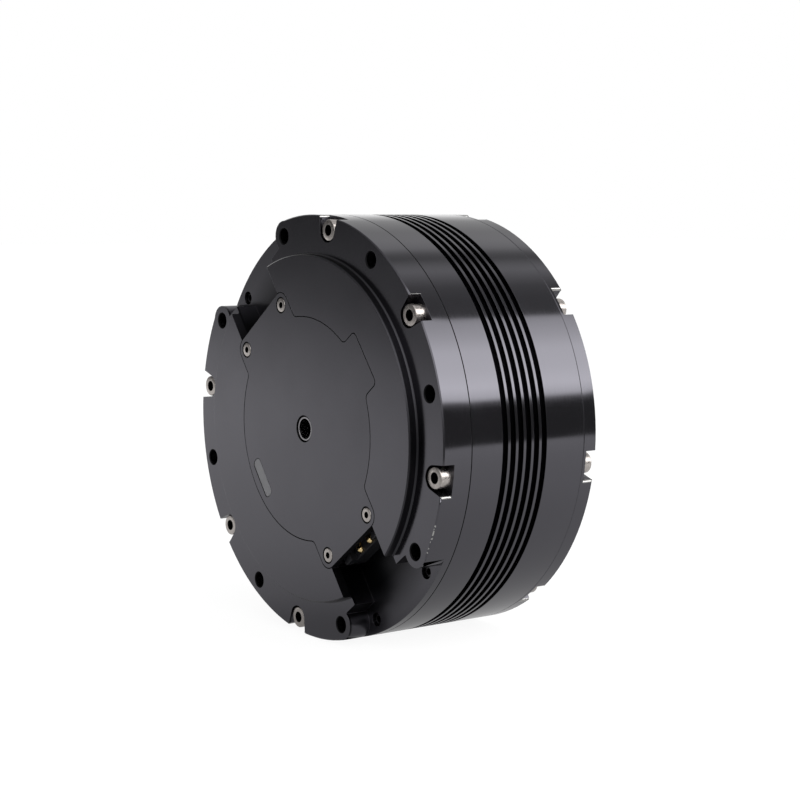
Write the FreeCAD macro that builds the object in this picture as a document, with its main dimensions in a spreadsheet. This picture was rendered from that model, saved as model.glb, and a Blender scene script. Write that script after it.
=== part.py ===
"""Robot joint actuator: hollow-shaft brushless motor with a single planetary stage inside its rotor.

The axis of rotation is Y. The rear mounting face lies in the plane Y = 0 with its centre at the origin,
the output flange looks along +Y, and the two cable channels of the rear housing run across the rear face,
turned by clock_angle from the vertical Z.
"""
import FreeCAD
import Part

import math
import os
import re

import Sketcher
from FreeCAD import Placement, Rotation, Vector

# --- driving dimensions, millimetres and degrees -------------------------------------------------

SIZES = {
    # casing, front to rear and inside out; a text is worked out from other sizes
    "body_length": (48.7, "rear mounting face to front face"),
    "body_radius": ("=shell_bore + shell_wall", "outer radius of all three casing shells"),
    "shell_wall": (7.5, "wall of the middle shell"),
    "shell_bore": ("=stator_bore + stack_depth", "bore of the middle shell, round the stator"),
    "rear_length": (8.5, "rear shell, mounting face to first seam"),
    "front_length": (4.2, "front shell, second seam to front face"),
    "rim_chamfer": (0.3, "broken edges of the shells"),
    "seam_chamfer": (0.12, "broken edges at the seams"),
    "clock_angle": (37.0, "turn of the cable channels from the vertical"),
    "flange_width": (10.1, "flange round the raised disc"),
    "disc_radius": ("=body_radius - flange_width", "raised disc on the rear face"),
    "disc_height": (2.5, "height of the raised disc"),
    "disc_cove": (0.35, "cove at the foot of the raised disc"),
    "overcut": (3.0, "how far a cut runs past the edge that it opens"),
    "thread_gap": (0.05, "a drawn thread's hole beyond its screw, in radius"),
    "hole_gap": (0.1, "room in a clearance hole, in radius"),
    # cable channels
    "channel_width": (22.0, "parallel stretch of a cable channel"),
    "channel_lip": (0.1, "cover plate to the inner end of a channel"),
    "channel_start": ("=cover_reach + channel_lip", "axis to the inner end of a channel"),
    "mouth_length": (9.2, "wide outer stretch of a channel"),
    "channel_step": ("=body_radius - mouth_length", "axis to the step where a channel widens"),
    "channel_mouth": (30.0, "width of a channel beyond its step"),
    "channel_floor": (6.2, "mounting face to the floor of a channel"),
    "nose_radius": (4.0, "round ends of the flange beside a channel"),
    # rear mounting holes
    "mount_inset": (4.0, "rim to the middle of a tapped hole"),
    "mount_circle": ("=2 * (body_radius - mount_inset)", "pitch circle of the tapped holes"),
    "mount_hole": (4.0, "M4 thread, drawn at its major diameter"),
    "mount_depth": (7.0, "depth of the tapped holes"),
    "mount_chamfer": (0.25, "chamfer at the mouth of a tapped hole"),
    # casing screws
    "screw_inset": (3.5, "rim to the middle of a casing screw"),
    "screw_circle": ("=2 * (body_radius - screw_inset)", "pitch circle of the M3 casing screws"),
    "screw_thread": (3.0, "M3 thread"),
    "screw_head": (5.5, "M3 head diameter"),
    "screw_head_height": (3.0, "M3 head height"),
    "screw_socket": (2.5, "M3 hexagon socket, across flats"),
    "seat_gap": (0.35, "room round a screw head"),
    "seat_depth": (3.3, "depth of a screw seat"),
    "seat_mouth": (7.8, "width of a screw seat at the rim"),
    "screw_reach": (12.0, "length of a rear casing screw under its head"),
    "front_reach": (8.0, "length of a front casing screw under its head"),
    "grub_angle": (14.5, "channel screws, angle from the middle of a channel"),
    "grub_hole": (3.6, "clearance hole of a channel screw"),
    "grub_sink": (0.8, "channel floor to the end of a channel screw"),
    "grub_length": (5.3, "channel screw"),
    "grub_socket": (1.5, "channel screw's hexagon socket, across flats"),
    # cover plate
    "cover_lip": (1.5, "cover plate's seat round the electronics cavity"),
    "cover_radius": ("=cavity_radius + cover_lip", "round part of the cover plate"),
    "cover_thickness": (1.6, "cover plate"),
    "cover_width": (27.6, "straight part of the cover plate, across"),
    "bar_reach": (5.8, "straight part of the cover plate beyond its round part"),
    "cover_reach": ("=cover_radius + bar_reach", "axis to the straight edges of the cover plate"),
    "cover_corner": (3.3, "corner radius round a cover screw"),
    "cover_blend": (1.5, "corners of the cover tab"),
    "cover_fillet": (1.8, "hollow corners of the cover outline"),
    "tab_step": (4.65, "cover tab beyond the round part"),
    "tab_reach": ("=cover_radius + tab_step", "axis to the edge of the cover tab"),
    "tab_width": (15.4, "width of the cover tab"),
    "cover_gap": (0.12, "gap round the cover plate"),
    "cover_bore": (3.4, "radius of the centre hole of the cover plate"),
    "cover_screw_x": ("=cover_width / 2 - cover_corner", "cover screws, across the channel"),
    "cover_screw_z": ("=cover_reach - cover_corner", "cover screws, along the channel"),
    "small_thread": (2.0, "M2 thread"),
    "small_head": (3.9, "M2 low head diameter"),
    "small_head_height": (1.0, "M2 low head height"),
    "small_socket": (1.3, "M2 hexagon socket, across flats"),
    "small_reach": (4.0, "length of an M2 screw under its head"),
    "window_inset": (4.1, "cover's round edge to the middle of the status window"),
    "window_place": ("=cover_radius - window_inset", "axis to the status window"),
    "window_length": (11.0, "status window, over its round ends"),
    "window_width": (2.0, "status window"),
    "window_gap": (0.02, "room round the status window"),
    "window_sink": (0.05, "status window below the cover plate"),
    # electronics
    "board_radius": (27.0, "driver board"),
    "board_gap": (0.5, "room round the driver board"),
    "cavity_radius": ("=board_radius + board_gap", "electronics cavity"),
    "cavity_floor": (5.2, "mounting face to the cavity floor"),
    "board_clear": (0.3, "room between the driver board and a connector"),
    "board_flat": ("=plug_start - board_clear", "axis to the flats of the driver board"),
    "board_place": (1.2, "mounting face to the rear side of the board"),
    "board_thickness": (1.6, "driver board"),
    "board_bore": (4.6, "radius of the board's centre hole"),
    "board_screw_inset": (3.5, "board's edge to the middle of a board screw"),
    "board_screw_circle": ("=2 * (board_radius - board_screw_inset)", "pitch circle of the board screws"),
    "post_radius": (2.4, "posts under the board"),
    "component_height": (1.0, "power transistors and controllers"),
    "transistor_inset": (9.5, "board's edge to the middle of a power transistor"),
    "transistor_width": (5.0, "power transistor, outwards"),
    "transistor_length": (6.0, "power transistor, along the circle"),
    "controller_size": (6.0, "controller"),
    "controller_pitch": (11.0, "between the middles of the controllers"),
    "controller_place": (8.5, "axis to the row of controllers"),
    "capacitor_width": (4.0, "capacitor"),
    "capacitor_length": (5.0, "capacitor"),
    "capacitor_height": (1.5, "capacitor"),
    "capacitor_pitch": (6.0, "between the middles of two capacitors"),
    "capacitor_place": (9.0, "axis to the row of capacitors"),
    "pad_inner": (11.5, "inner radius of the thermal pad"),
    "pad_gap": (1.1, "room between the thermal pad and the posts"),
    "pad_outer": ("=board_screw_circle / 2 - post_radius - pad_gap", "outer radius of the thermal pad"),
    # connectors
    "plug_wall": (0.9, "between a connector and the cover screws beside it"),
    "plug_width": ("=2 * (cover_screw_x - small_thread / 2 - plug_wall)", "connector body"),
    "plug_length": (10.4, "connector body"),
    "plug_proud": (1.1, "connector in its channel"),
    "plug_front": ("=channel_start + plug_proud", "axis to the front of a connector"),
    "plug_start": ("=plug_front - plug_length", "axis to the back of a connector"),
    "plug_top": (0.3, "mounting face to the open side of a connector"),
    "plug_edge": (0.8, "rounded edges of a connector"),
    "plug_gap": (0.1, "room round a connector"),
    "notch_width": (11.0, "open notch over the contacts"),
    "notch_length": (3.2, "open notch over the contacts"),
    "notch_start": ("=plug_front - notch_length", "axis to the inner end of the notch"),
    "pin_pitch": (5.0, "power contacts"),
    "pin_radius": (1.0, "power contact"),
    "pin_depth": (2.0, "mounting face to the middle of the contacts"),
    "pin_inset": (0.5, "contacts behind the front of their connector"),
    "pin_front": ("=plug_front - pin_inset", "axis to the tips of the contacts"),
    "pin_length": (8.0, "contacts"),
    # cooling fins
    "fin_land": (9.58, "first seam to the first groove"),
    "fin_start": ("=rear_length + fin_land", "mounting face to the first groove"),
    "fin_count": (6.0, "grooves"),
    "fin_groove": (1.655, "width of a groove"),
    "fin_rib": (0.826, "thickness of a fin"),
    "fin_depth": (2.6, "depth of a groove"),
    # shells inside
    "shoulder_step": (1.9, "shoulder between the stator and the ring gear's flange, inwards"),
    "shoulder_length": (2.6, "the same shoulder, along the axis"),
    "shoulder_radius": ("=shell_bore - shoulder_step", "inner radius of the shoulder"),
    "spigot_step": (1.1, "spigot seats beyond the bore of the middle shell"),
    "spigot_radius": ("=shell_bore + spigot_step", "spigots that centre the outer shells"),
    "spigot_length": (1.5, "spigots"),
    "spigot_wall": (2.0, "spigots"),
    "spigot_gap": (0.1, "room round a spigot"),
    # motor, measured outwards from the ring gear
    "stack_room": (5.5, "first seam to the stator stack"),
    "stack_start": ("=rear_length + stack_room", "mounting face to the stator stack"),
    "stack_length": ("=ring_flange_start - shoulder_length - stack_start", "stator stack"),
    "stack_depth": (7.8, "stator, bore to outside"),
    "slot_count": (24.0, "stator slots"),
    "stator_bore": ("=ring_outer + yoke_gap + yoke_thickness + magnet_thickness + air_gap",
                    "inner radius of the stator"),
    "tooth_shoe": (1.0, "tip of a stator tooth"),
    "slot_depth": (5.0, "stator slot"),
    "slot_width": (5.0, "stator slot"),
    "slot_mouth": (1.6, "opening of a stator slot"),
    "coil_thickness": (1.7, "one side of a coil"),
    "coil_gap": (0.15, "slot liner between coil and core"),
    "coil_head": (2.2, "end turns beyond the stack"),
    "air_gap": (0.7, "between magnets and stator"),
    "magnet_thickness": (2.4, "rotor magnets"),
    "magnet_inset": (0.5, "rotor magnets within the back iron"),
    "pole_count": (28.0, "rotor magnets"),
    "pole_space": (1.2, "between neighbouring magnets"),
    "yoke_thickness": (2.4, "rotor back iron"),
    "yoke_gap": (0.85, "between the rotor back iron and the ring gear"),
    "yoke_inset": (1.0, "rotor back iron within the stator stack"),
    "yoke_start": ("=stack_start + yoke_inset", "mounting face to the rotor back iron"),
    "yoke_length": ("=stack_length - 2 * yoke_inset", "rotor back iron"),
    "hub_step": (0.3, "rotor hub's web in front of its bearing"),
    "hub_start": ("=bearing_start + bearing_width + hub_step", "mounting face to the rotor hub's web"),
    "hub_web": (2.2, "web of the rotor hub"),
    "hub_shoulder": (1.2, "height of the step that the rotor bearing stops at"),
    "hub_window_place": (20.0, "axis to the windows of the rotor hub"),
    "hub_window_radius": (5.0, "windows of the rotor hub"),
    "hub_window_count": (6.0, "windows of the rotor hub"),
    "journal_proud": (0.6, "rotor's journal beyond its bearing"),
    "journal_start": ("=bearing_start - journal_proud", "mounting face to the rotor's journal"),
    # rotor bearing, 15 x 24 x 5
    "bearing_bore": (7.5, "inner radius"),
    "bearing_outer": (12.0, "outer radius"),
    "bearing_width": (5.0, "width"),
    "bearing_room": (2.8, "cavity floor to the bearing"),
    "bearing_start": ("=cavity_floor + bearing_room", "mounting face to the bearing"),
    "bearing_shoulder": (1.4, "ledge that holds the outer ring of the rotor bearing"),
    "ball_radius": (1.5, "balls"),
    "ball_count": (9.0, "balls"),
    "race_slit": (0.93, "half of the slit between the rotor bearing's rings"),
    "race_gap": (0.1, "room between rolling elements and races"),
    "boss_wall": (2.4, "wall round the rotor bearing"),
    "encoder_length": (1.6, "encoder magnet"),
    "encoder_inset": (0.3, "encoder magnet within the rotor's journal"),
    # planetary stage
    "gear_module": (1.0, "module"),
    "sun_teeth": (12.0, "sun gear"),
    "planet_teeth": (24.0, "planet gear"),
    "ring_teeth": ("=sun_teeth + 2 * planet_teeth", "ring gear"),
    "planet_count": (3.0, "planet gears"),
    "pressure_angle": (20.0, "pressure angle"),
    "backlash": (0.16, "circumferential backlash of a mesh"),
    "root_gap": (0.25, "tip to root clearance, in modules"),
    "gear_side": (0.5, "room beside the planet gears"),
    "gear_start": ("=plate_start + plate_thick + gear_side", "mounting face to the planet gears"),
    "gear_width": ("=carrier_start - gear_side - gear_start", "planet gears"),
    "sun_bore": (3.7, "bore of the sun gear"),
    "sun_shaft": (4.6, "shaft of the sun gear"),
    "sun_reach": (3.7, "sun gear's shaft in the carrier"),
    "sun_room": (0.6, "carrier beyond the end of the sun gear's shaft"),
    "sun_end": ("=carrier_start + sun_reach", "mounting face to the front end of the sun gear's shaft"),
    "ring_wall": (2.1, "ring gear, behind the tooth roots"),
    "ring_outer": ("=gear_module * (ring_teeth / 2 + 1 + root_gap) + ring_wall", "ring gear's outside"),
    "ring_side": (0.3, "teeth of the ring gear beyond the planet gears"),
    "flange_gap": (0.1, "room round the flange of the ring gear"),
    "ring_flange_start": ("=output_bearing_start - bearing_lip - ring_flange_thick",
                          "mounting face to the flange of the ring gear"),
    "ring_flange_thick": (2.8, "flange of the ring gear"),
    "planet_pin": (3.0, "radius of a planet pin"),
    "planet_bush": (4.1, "outer radius of a planet's bush"),
    "pin_seat": (4.5, "planet pin in the front carrier plate"),
    "running_gap": (0.05, "running fits"),
    "plate_gap": (1.7, "rotor hub's web to the rear carrier plate"),
    "plate_start": ("=hub_start + hub_web + plate_gap", "mounting face to the rear carrier plate"),
    "plate_thick": (2.7, "rear carrier plate"),
    "plate_room": (1.2, "rear carrier plate round the tips of the sun gear"),
    "carrier_gap": (0.8, "planet carrier within the tips of the ring gear"),
    "carrier_radius": ("=gear_module * (ring_teeth / 2 - 1) - carrier_gap", "planet carrier"),
    "carrier_thick": (8.7, "front part of the planet carrier"),
    "carrier_start": ("=carrier_end - carrier_thick", "mounting face to the front part of the carrier"),
    "carrier_end": ("=output_bearing_start - flange_reach", "mounting face to the output flange"),
    "bridge_offset": (3.2, "bridges of the carrier beyond the planet pins"),
    "bridge_place": ("=gear_module * (sun_teeth + planet_teeth) / 2 + bridge_offset",
                     "axis to the bridges of the carrier"),
    "bridge_radius": (4.2, "bridges of the carrier"),
    "bridge_thread": (8.0, "depth of the threads in the bridges"),
    "bridge_reach": (7.5, "length of a carrier screw under its head"),
    "low_head_height": (1.6, "low M3 head"),
    "low_socket": (2.0, "low M3 head's hexagon socket, across flats"),
    "pilot_wall": (1.4, "pilot bush of the sun gear"),
    # output
    "bearing_wall": (6.5, "output bearing's outside within the bore of the middle shell"),
    "bearing_section": (11.0, "output bearing, outside to bore"),
    "output_bearing_outer": ("=shell_bore - bearing_wall", "outer radius of the output bearing"),
    "output_hub": ("=output_bearing_outer - bearing_section", "hub of the output flange, in its bearing"),
    "output_step": (3.6, "disc of the output flange within the bearing's outside"),
    "output_radius": ("=output_bearing_outer - output_step", "disc of the output flange"),
    "output_proud": (1.0, "output flange beyond the front face"),
    "output_circle": (48.0, "pitch circle of the output flange's M4 threads"),
    "output_holes": (8.0, "M4 threads of the output flange"),
    "output_depth": (7.5, "depth of the M4 threads"),
    "pilot_radius": (10.0, "centring recess of the output flange"),
    "pilot_depth": (2.0, "centring recess of the output flange"),
    "link_circle": (32.0, "pitch circle of the screws that hold the output flange"),
    "link_reach": (12.0, "length of an output flange screw under its head"),
    "link_thread": (6.0, "depth of their threads in the carrier"),
    "retainer_depth": (2.4, "front face to the seat of the bearing retainer"),
    "output_bearing_start": ("=body_length - retainer_depth - output_bearing_width",
                             "mounting face to the output bearing"),
    "output_bearing_width": (6.4, "output bearing"),
    "bearing_lip": (0.5, "front shell behind the output bearing"),
    "bearing_ledge": (1.6, "front shell's ledge under the output bearing, inwards"),
    "race_split": (0.3, "half of the slit between the output bearing's rings"),
    "roller_size": (4.0, "diameter of a crossed roller"),
    "roller_count": (24.0, "crossed rollers"),
    "retainer_seat": (4.0, "bearing retainer beyond the bearing"),
    "retainer_radius": ("=output_bearing_outer + retainer_seat", "bearing retainer"),
    "retainer_sink": (0.3, "retainer below the front face"),
    "retainer_circle": ("=output_bearing_outer + retainer_radius", "pitch circle of the retainer screws"),
    "seal_width": (1.3, "shaft seal"),
    "seal_gap": (0.3, "room between seal and output flange"),
    "seal_sink": (0.1, "shaft seal below the retainer"),
    "flange_reach": (0.7, "output flange's hub behind its bearing"),
    "flange_relief": (0.4, "output flange in front of its bearing"),
    "tube_radius": (3.1, "centre tube"),
    "tube_bore": (2.65, "bore of the centre tube"),
    "tube_room": (1.0, "carrier round the centre tube"),
    "tube_rear": (2.2, "mounting face to the rear end of the centre tube"),
}

doc = FreeCAD.newDocument("JointActuator")
sheet = doc.addObject("Spreadsheet::Sheet", "Sizes")
for row, (alias, (value, note)) in enumerate(SIZES.items(), start=1):
    sheet.set(f"A{row}", note)
    sheet.set(f"B{row}", str(value))
    sheet.setAlias(f"B{row}", alias)
doc.recompute()


def size(alias):
    """The plain number in one cell of the sheet."""
    return float(sheet.get(alias))


def count(alias):
    return int(round(size(alias)))


def bound(formula):
    """A formula of aliases, written for an object of the document."""
    return re.sub(r"[a-z]\w*", lambda word: f"Sizes.{word[0]}" if word[0] in SIZES else word[0], formula)


# --- sketches and features ------------------------------------------------------------------------

REAR_VIEW = "XZ_Plane"      # seen from the rear: X to the right, Z up, normal -Y
SECTION = "XY_Plane"        # half section: X is the radius, Y runs along the axis
SAME = 0.01                 # places and radii that differ by less are the same
PARTS = []


def new_body(label):
    body = doc.addObject("PartDesign::Body", label)
    body.Label = label
    PARTS.append(body)
    return body


def clocked(thing):
    """Turn a piece about the axis, so that the channels stand at clock_angle."""
    thing.Placement = Placement(Vector(0, 0, 0), Rotation(Vector(0, -1, 0), 1))
    thing.setExpression("Placement.Rotation.Angle", bound("clock_angle * 1 deg"))
    return thing


def sketch(body, name, plane, at="0"):
    """An empty sketch; on the rear view it lies `at` millimetres in front of the mounting face."""
    drawing = body.newObject("Sketcher::SketchObject", name)
    support = next(item for item in body.Origin.OriginFeatures if item.Role == plane)
    drawing.AttachmentSupport = [(support, "")]
    drawing.MapMode = "FlatFace"
    drawing.setExpression("AttachmentOffset.Base.z", bound(f"-({at})"))
    return drawing


def hold(drawing, kind, formula, *where):
    index = drawing.addConstraint(Sketcher.Constraint(kind, *where, 1.0))
    drawing.setExpression(f"Constraints[{index}]", bound(formula))


def polygon(drawing, corners):
    """A closed outline whose corners are pairs of formulas."""
    first = drawing.GeometryCount
    total = len(corners)
    step = 2 * math.pi / total
    ring = [Vector(math.cos(step * i), math.sin(step * i), 0) for i in range(total)]
    for i in range(total):
        drawing.addGeometry(Part.LineSegment(ring[i], ring[(i + 1) % total]))
    for i, (across, up) in enumerate(corners):
        drawing.addConstraint(Sketcher.Constraint("Coincident", first + (i - 1) % total, 2, first + i, 1))
        hold(drawing, "DistanceX", across, first + i, 1)
        hold(drawing, "DistanceY", up, first + i, 1)


def box(drawing, x_low, x_high, z_low, z_high):
    polygon(drawing, [(x_low, z_low), (x_high, z_low), (x_high, z_high), (x_low, z_high)])


def circle(drawing, across, up, radius):
    index = drawing.addGeometry(Part.Circle(Vector(1, 1, 0), Vector(0, 0, 1), 1))
    hold(drawing, "DistanceX", across, index, 3)
    hold(drawing, "DistanceY", up, index, 3)
    hold(drawing, "Radius", radius, index)


def on_circle(pitch, angle):
    """Formulas of a place on a pitch circle, angle counted from X towards Z."""
    return f"{pitch} / 2 * cos({angle})", f"{pitch} / 2 * sin({angle})"


def turned(body, name, outline):
    """A piece turned on the lathe: the outline's corners are (radius, distance along the axis)."""
    drawing = sketch(body, name + "_outline", SECTION)
    polygon(drawing, outline)
    feature = body.newObject("PartDesign::Revolution", name)
    feature.Profile = drawing
    feature.ReferenceAxis = (drawing, ["V_Axis"])
    feature.Angle = 360
    return feature


def ring(label, inner, outer, start, end):
    body = new_body(label)
    turned(body, label + "_ring", [(inner, start), (outer, start), (outer, end), (inner, end)])
    return body


def pocket(body, name, drawing, depth, towards_rear=False):
    feature = body.newObject("PartDesign::Pocket", name)
    feature.Profile = drawing
    feature.setExpression("Length", bound(depth))
    feature.Reversed = towards_rear
    return feature


def pad(body, name, drawing, depth):
    """Material from the sketch's plane towards the front."""
    feature = body.newObject("PartDesign::Pad", name)
    feature.Profile = drawing
    feature.setExpression("Length", bound(depth))
    feature.Reversed = True
    return feature


def around(body, name, feature, drawing, copies):
    """Repeat a feature evenly round the axis; copies is a formula."""
    pattern = body.newObject("PartDesign::PolarPattern", name)
    pattern.Originals = [feature]
    pattern.Axis = (drawing, ["N_Axis"])
    pattern.Angle = 360
    pattern.setExpression("Occurrences", bound(copies))
    body.Tip = pattern
    return pattern


def soften(body, name, radius, chosen):
    """Round the edges along the axis whose middles pass the test `chosen`."""
    doc.recompute()
    tip = body.Tip
    names = []
    for i, edge in enumerate(tip.Shape.Edges, start=1):
        if edge.Curve.TypeId != "Part::GeomLine" or abs(edge.Curve.Direction.y) < 0.99:
            continue
        if chosen(edge.CenterOfMass):
            names.append(f"Edge{i}")
    feature = body.newObject("PartDesign::Fillet", name)
    feature.Base = (tip, names)
    feature.setExpression("Radius", bound(radius))
    return feature


def bevel(body, name, depth, chosen):
    """Chamfer the circular edges that pass the test `chosen`, given the edge's centre and radius."""
    doc.recompute()
    tip = body.Tip
    names = []
    for i, edge in enumerate(tip.Shape.Edges, start=1):
        if edge.Curve.TypeId == "Part::GeomCircle" and chosen(edge.Curve.Center, edge.Curve.Radius):
            names.append(f"Edge{i}")
    feature = body.newObject("PartDesign::Chamfer", name)
    feature.Base = (tip, names)
    feature.setExpression("Size", bound(depth))
    return feature


def solid_node(label, shape):
    node = doc.addObject("Part::Feature", label)
    node.Label = label
    node.Shape = shape
    PARTS.append(node)
    return node


def copies(label, piece, places):
    """One node that holds several like pieces as separate solids."""
    return solid_node(label, Part.makeCompound([piece.transformed(place.toMatrix()) for place in places]))


def turn(degrees):
    """Counter-clockwise by so many degrees, as seen from the rear."""
    return Placement(Vector(0, 0, 0), Rotation(Vector(0, -1, 0), degrees))


def at_radius(radius, degrees, along=0.0):
    return turn(degrees).multiply(Placement(Vector(radius, along, 0), Rotation()))


def placed(x, y, z):
    return Placement(Vector(x, y, z), Rotation())


# --- casing ---------------------------------------------------------------------------------------

SCREW_ANGLES = (0, 45, 135, 180, 225, 315)
SEAM_TWO = "(body_length - front_length)"
RING_FLANGE_END = "(ring_flange_start + ring_flange_thick)"
BEARING_END = "(output_bearing_start + output_bearing_width)"


def screw_seats(body, at, angles, thread_depth, towards_rear):
    """Counterbores of the casing screws, open to the rim, with their clearance holes."""
    for angle in angles:
        seat = sketch(body, f"seat_{angle}", REAR_VIEW, at)
        circle(seat, *on_circle("screw_circle", angle), "screw_head / 2 + seat_gap")
        pocket(body, f"seat_cut_{angle}", seat, "seat_depth", towards_rear)
        mouth = sketch(body, f"mouth_{angle}", REAR_VIEW, at)
        polygon(mouth, [mouth_corner(angle, *corner) for corner in (
            ("screw_circle / 2 - seat_gap", "(screw_head / 2 + seat_gap)"),
            ("body_radius", "seat_mouth / 2"), ("body_radius + overcut", "seat_mouth / 2"),
            ("body_radius + overcut", "-seat_mouth / 2"), ("body_radius", "-seat_mouth / 2"),
            ("screw_circle / 2 - seat_gap", "-(screw_head / 2 + seat_gap)"))])
        pocket(body, f"mouth_cut_{angle}", mouth, "seat_depth", towards_rear)
    holes = sketch(body, "screw_holes", REAR_VIEW, at)
    for angle in angles:
        circle(holes, *on_circle("screw_circle", angle), "screw_thread / 2 + hole_gap")
    pocket(body, "screw_hole_cut", holes, thread_depth, towards_rear)


def mouth_corner(angle, out, side):
    """Formulas of a point given by its distance out along a ray and sideways from it."""
    return (f"({out}) * cos({angle}) - ({side}) * sin({angle})",
            f"({out}) * sin({angle}) + ({side}) * cos({angle})")


def cover_outline(body, grow, at, depth, cut):
    """The cover's outline, as material or as the recess that takes it: a disc, a bar and a side tab."""
    make = pocket if cut else pad
    round_part = sketch(body, "cover_round", REAR_VIEW, at)
    circle(round_part, "0", "0", f"cover_radius + {grow}")
    make(body, "cover_disc", round_part, depth)
    bar = sketch(body, "cover_bar", REAR_VIEW, at)
    box(bar, f"-cover_width / 2 - {grow}", f"cover_width / 2 + {grow}",
        f"-cover_reach - {grow}", f"cover_reach + {grow}")
    make(body, "cover_bar_form", bar, depth)
    tab = sketch(body, "cover_tab", REAR_VIEW, at)
    box(tab, "cover_radius / 2", f"tab_reach + {grow}",
        f"-tab_width / 2 - {grow}", f"tab_width / 2 + {grow}")
    make(body, "cover_tab_form", tab, depth)
    soften(body, "screw_corners", f"cover_corner + {grow}", in_screw_corner)
    soften(body, "tab_corners", "cover_blend", in_tab_corner)
    soften(body, "hollow_corners", "cover_fillet", in_hollow_corner)


def in_screw_corner(point):
    return abs(point.z) > size("cover_screw_z") and abs(point.x) > size("cover_screw_x")


def in_tab_corner(point):
    return point.x > size("cover_radius")


def in_hollow_corner(point):
    """Where the round part of the outline meets the bar or the tab."""
    on_edge = abs(math.hypot(point.x, point.z) - size("cover_radius")) < size("cover_fillet")
    return on_edge and (point.x > 0 or abs(point.z) > size("tab_width"))


def rear_housing():
    body = clocked(new_body("rear_housing"))
    turned(body, "rear_shell", [
        ("bearing_outer - bearing_shoulder", "cavity_floor"),
        ("bearing_outer - bearing_shoulder", "bearing_start"),
        ("bearing_outer", "bearing_start"),
        ("bearing_outer", "bearing_start + bearing_width"),
        ("bearing_outer + boss_wall", "bearing_start + bearing_width"),
        ("bearing_outer + boss_wall", "rear_length"),
        ("spigot_radius - spigot_wall", "rear_length"),
        ("spigot_radius - spigot_wall", "rear_length + spigot_length"),
        ("spigot_radius - spigot_gap", "rear_length + spigot_length"),
        ("spigot_radius - spigot_gap", "rear_length"),
        ("body_radius - seam_chamfer", "rear_length"),
        ("body_radius", "rear_length - seam_chamfer"),
        ("body_radius", "rim_chamfer"),
        ("body_radius - rim_chamfer", "0"),
        ("disc_radius + disc_cove", "0"),
        ("disc_radius", "-disc_cove"),
        ("disc_radius", "-disc_height + rim_chamfer"),
        ("disc_radius - rim_chamfer", "-disc_height"),
        ("cavity_radius", "-disc_height"),
        ("cavity_radius", "cavity_floor"),
    ])
    cover_outline(body, "cover_gap", "-disc_height", "cover_thickness", cut=True)

    channels = sketch(body, "channels", REAR_VIEW, "-disc_height")
    for side in ("", "-"):
        box(channels, "-channel_width / 2", "channel_width / 2",
            f"{side}channel_start", f"{side}(channel_step + nose_radius)")
    pocket(body, "channel_cut", channels, "disc_height + channel_floor")

    mouths = sketch(body, "channel_mouths", REAR_VIEW, "-disc_height")
    for side in ("", "-"):
        polygon(mouths, [
            ("channel_mouth / 2", f"{side}channel_step"),
            ("mount_circle / 2 * sin(22.5)", f"{side}mount_circle / 2 * cos(22.5)"),
            ("(body_radius + overcut) * tan(22.5)", f"{side}(body_radius + overcut)"),
            ("-(body_radius + overcut) * tan(22.5)", f"{side}(body_radius + overcut)"),
            ("-mount_circle / 2 * sin(22.5)", f"{side}mount_circle / 2 * cos(22.5)"),
            ("-channel_mouth / 2", f"{side}channel_step")])
    pocket(body, "channel_mouth_cut", mouths, "disc_height + channel_floor")

    noses = sketch(body, "noses", REAR_VIEW, "0")
    for angle in (67.5, 112.5, 247.5, 292.5):
        circle(noses, *on_circle("mount_circle", angle), "nose_radius")
    pad(body, "nose_form", noses, "channel_floor")

    connector_slots = sketch(body, "connector_slots", REAR_VIEW, "-disc_height + cover_thickness")
    for side in ("", "-"):
        box(connector_slots, "-plug_width / 2 - plug_gap", "plug_width / 2 + plug_gap",
            f"{side}(plug_start - plug_gap)", f"{side}(channel_start + overcut)")
    pocket(body, "connector_slot_cut", connector_slots, "disc_height - cover_thickness + channel_floor")

    tapped = sketch(body, "mount_holes", REAR_VIEW, "0")
    for step in range(8):
        circle(tapped, *on_circle("mount_circle", 22.5 + 45 * step), "mount_hole / 2")
    pocket(body, "mount_hole_cut", tapped, "mount_depth")
    bevel(body, "mount_hole_chamfer", "mount_chamfer",
          lambda centre, radius: abs(centre.y) < SAME and abs(radius - size("mount_hole") / 2) < SAME)

    screw_seats(body, "0", SCREW_ANGLES, "rear_length + overcut", towards_rear=False)

    grubs = sketch(body, "grub_holes", REAR_VIEW, "channel_floor")
    for middle in (90, 270):
        for side in ("-", "+"):
            circle(grubs, *on_circle("screw_circle", f"{middle} {side} grub_angle"), "grub_hole / 2")
    pocket(body, "grub_hole_cut", grubs, "rear_length - channel_floor + overcut")

    small = sketch(body, "cover_screw_holes", REAR_VIEW, "-disc_height + cover_thickness")
    for x_side in ("", "-"):
        for z_side in ("", "-"):
            circle(small, f"{x_side}cover_screw_x", f"{z_side}cover_screw_z",
                   "small_thread / 2 + thread_gap")
    pocket(body, "cover_screw_hole_cut", small, "small_reach")

    posts = sketch(body, "board_posts", REAR_VIEW, "board_place + board_thickness")
    for step in range(4):
        circle(posts, *on_circle("board_screw_circle", 45 + 90 * step), "post_radius")
    pad(body, "board_post_form", posts, "cavity_floor - board_place - board_thickness")
    threads = sketch(body, "post_threads", REAR_VIEW, "board_place + board_thickness")
    for step in range(4):
        circle(threads, *on_circle("board_screw_circle", 45 + 90 * step), "small_thread / 2 + thread_gap")
    pocket(body, "post_thread_cut", threads, "small_reach")
    return body


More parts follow.
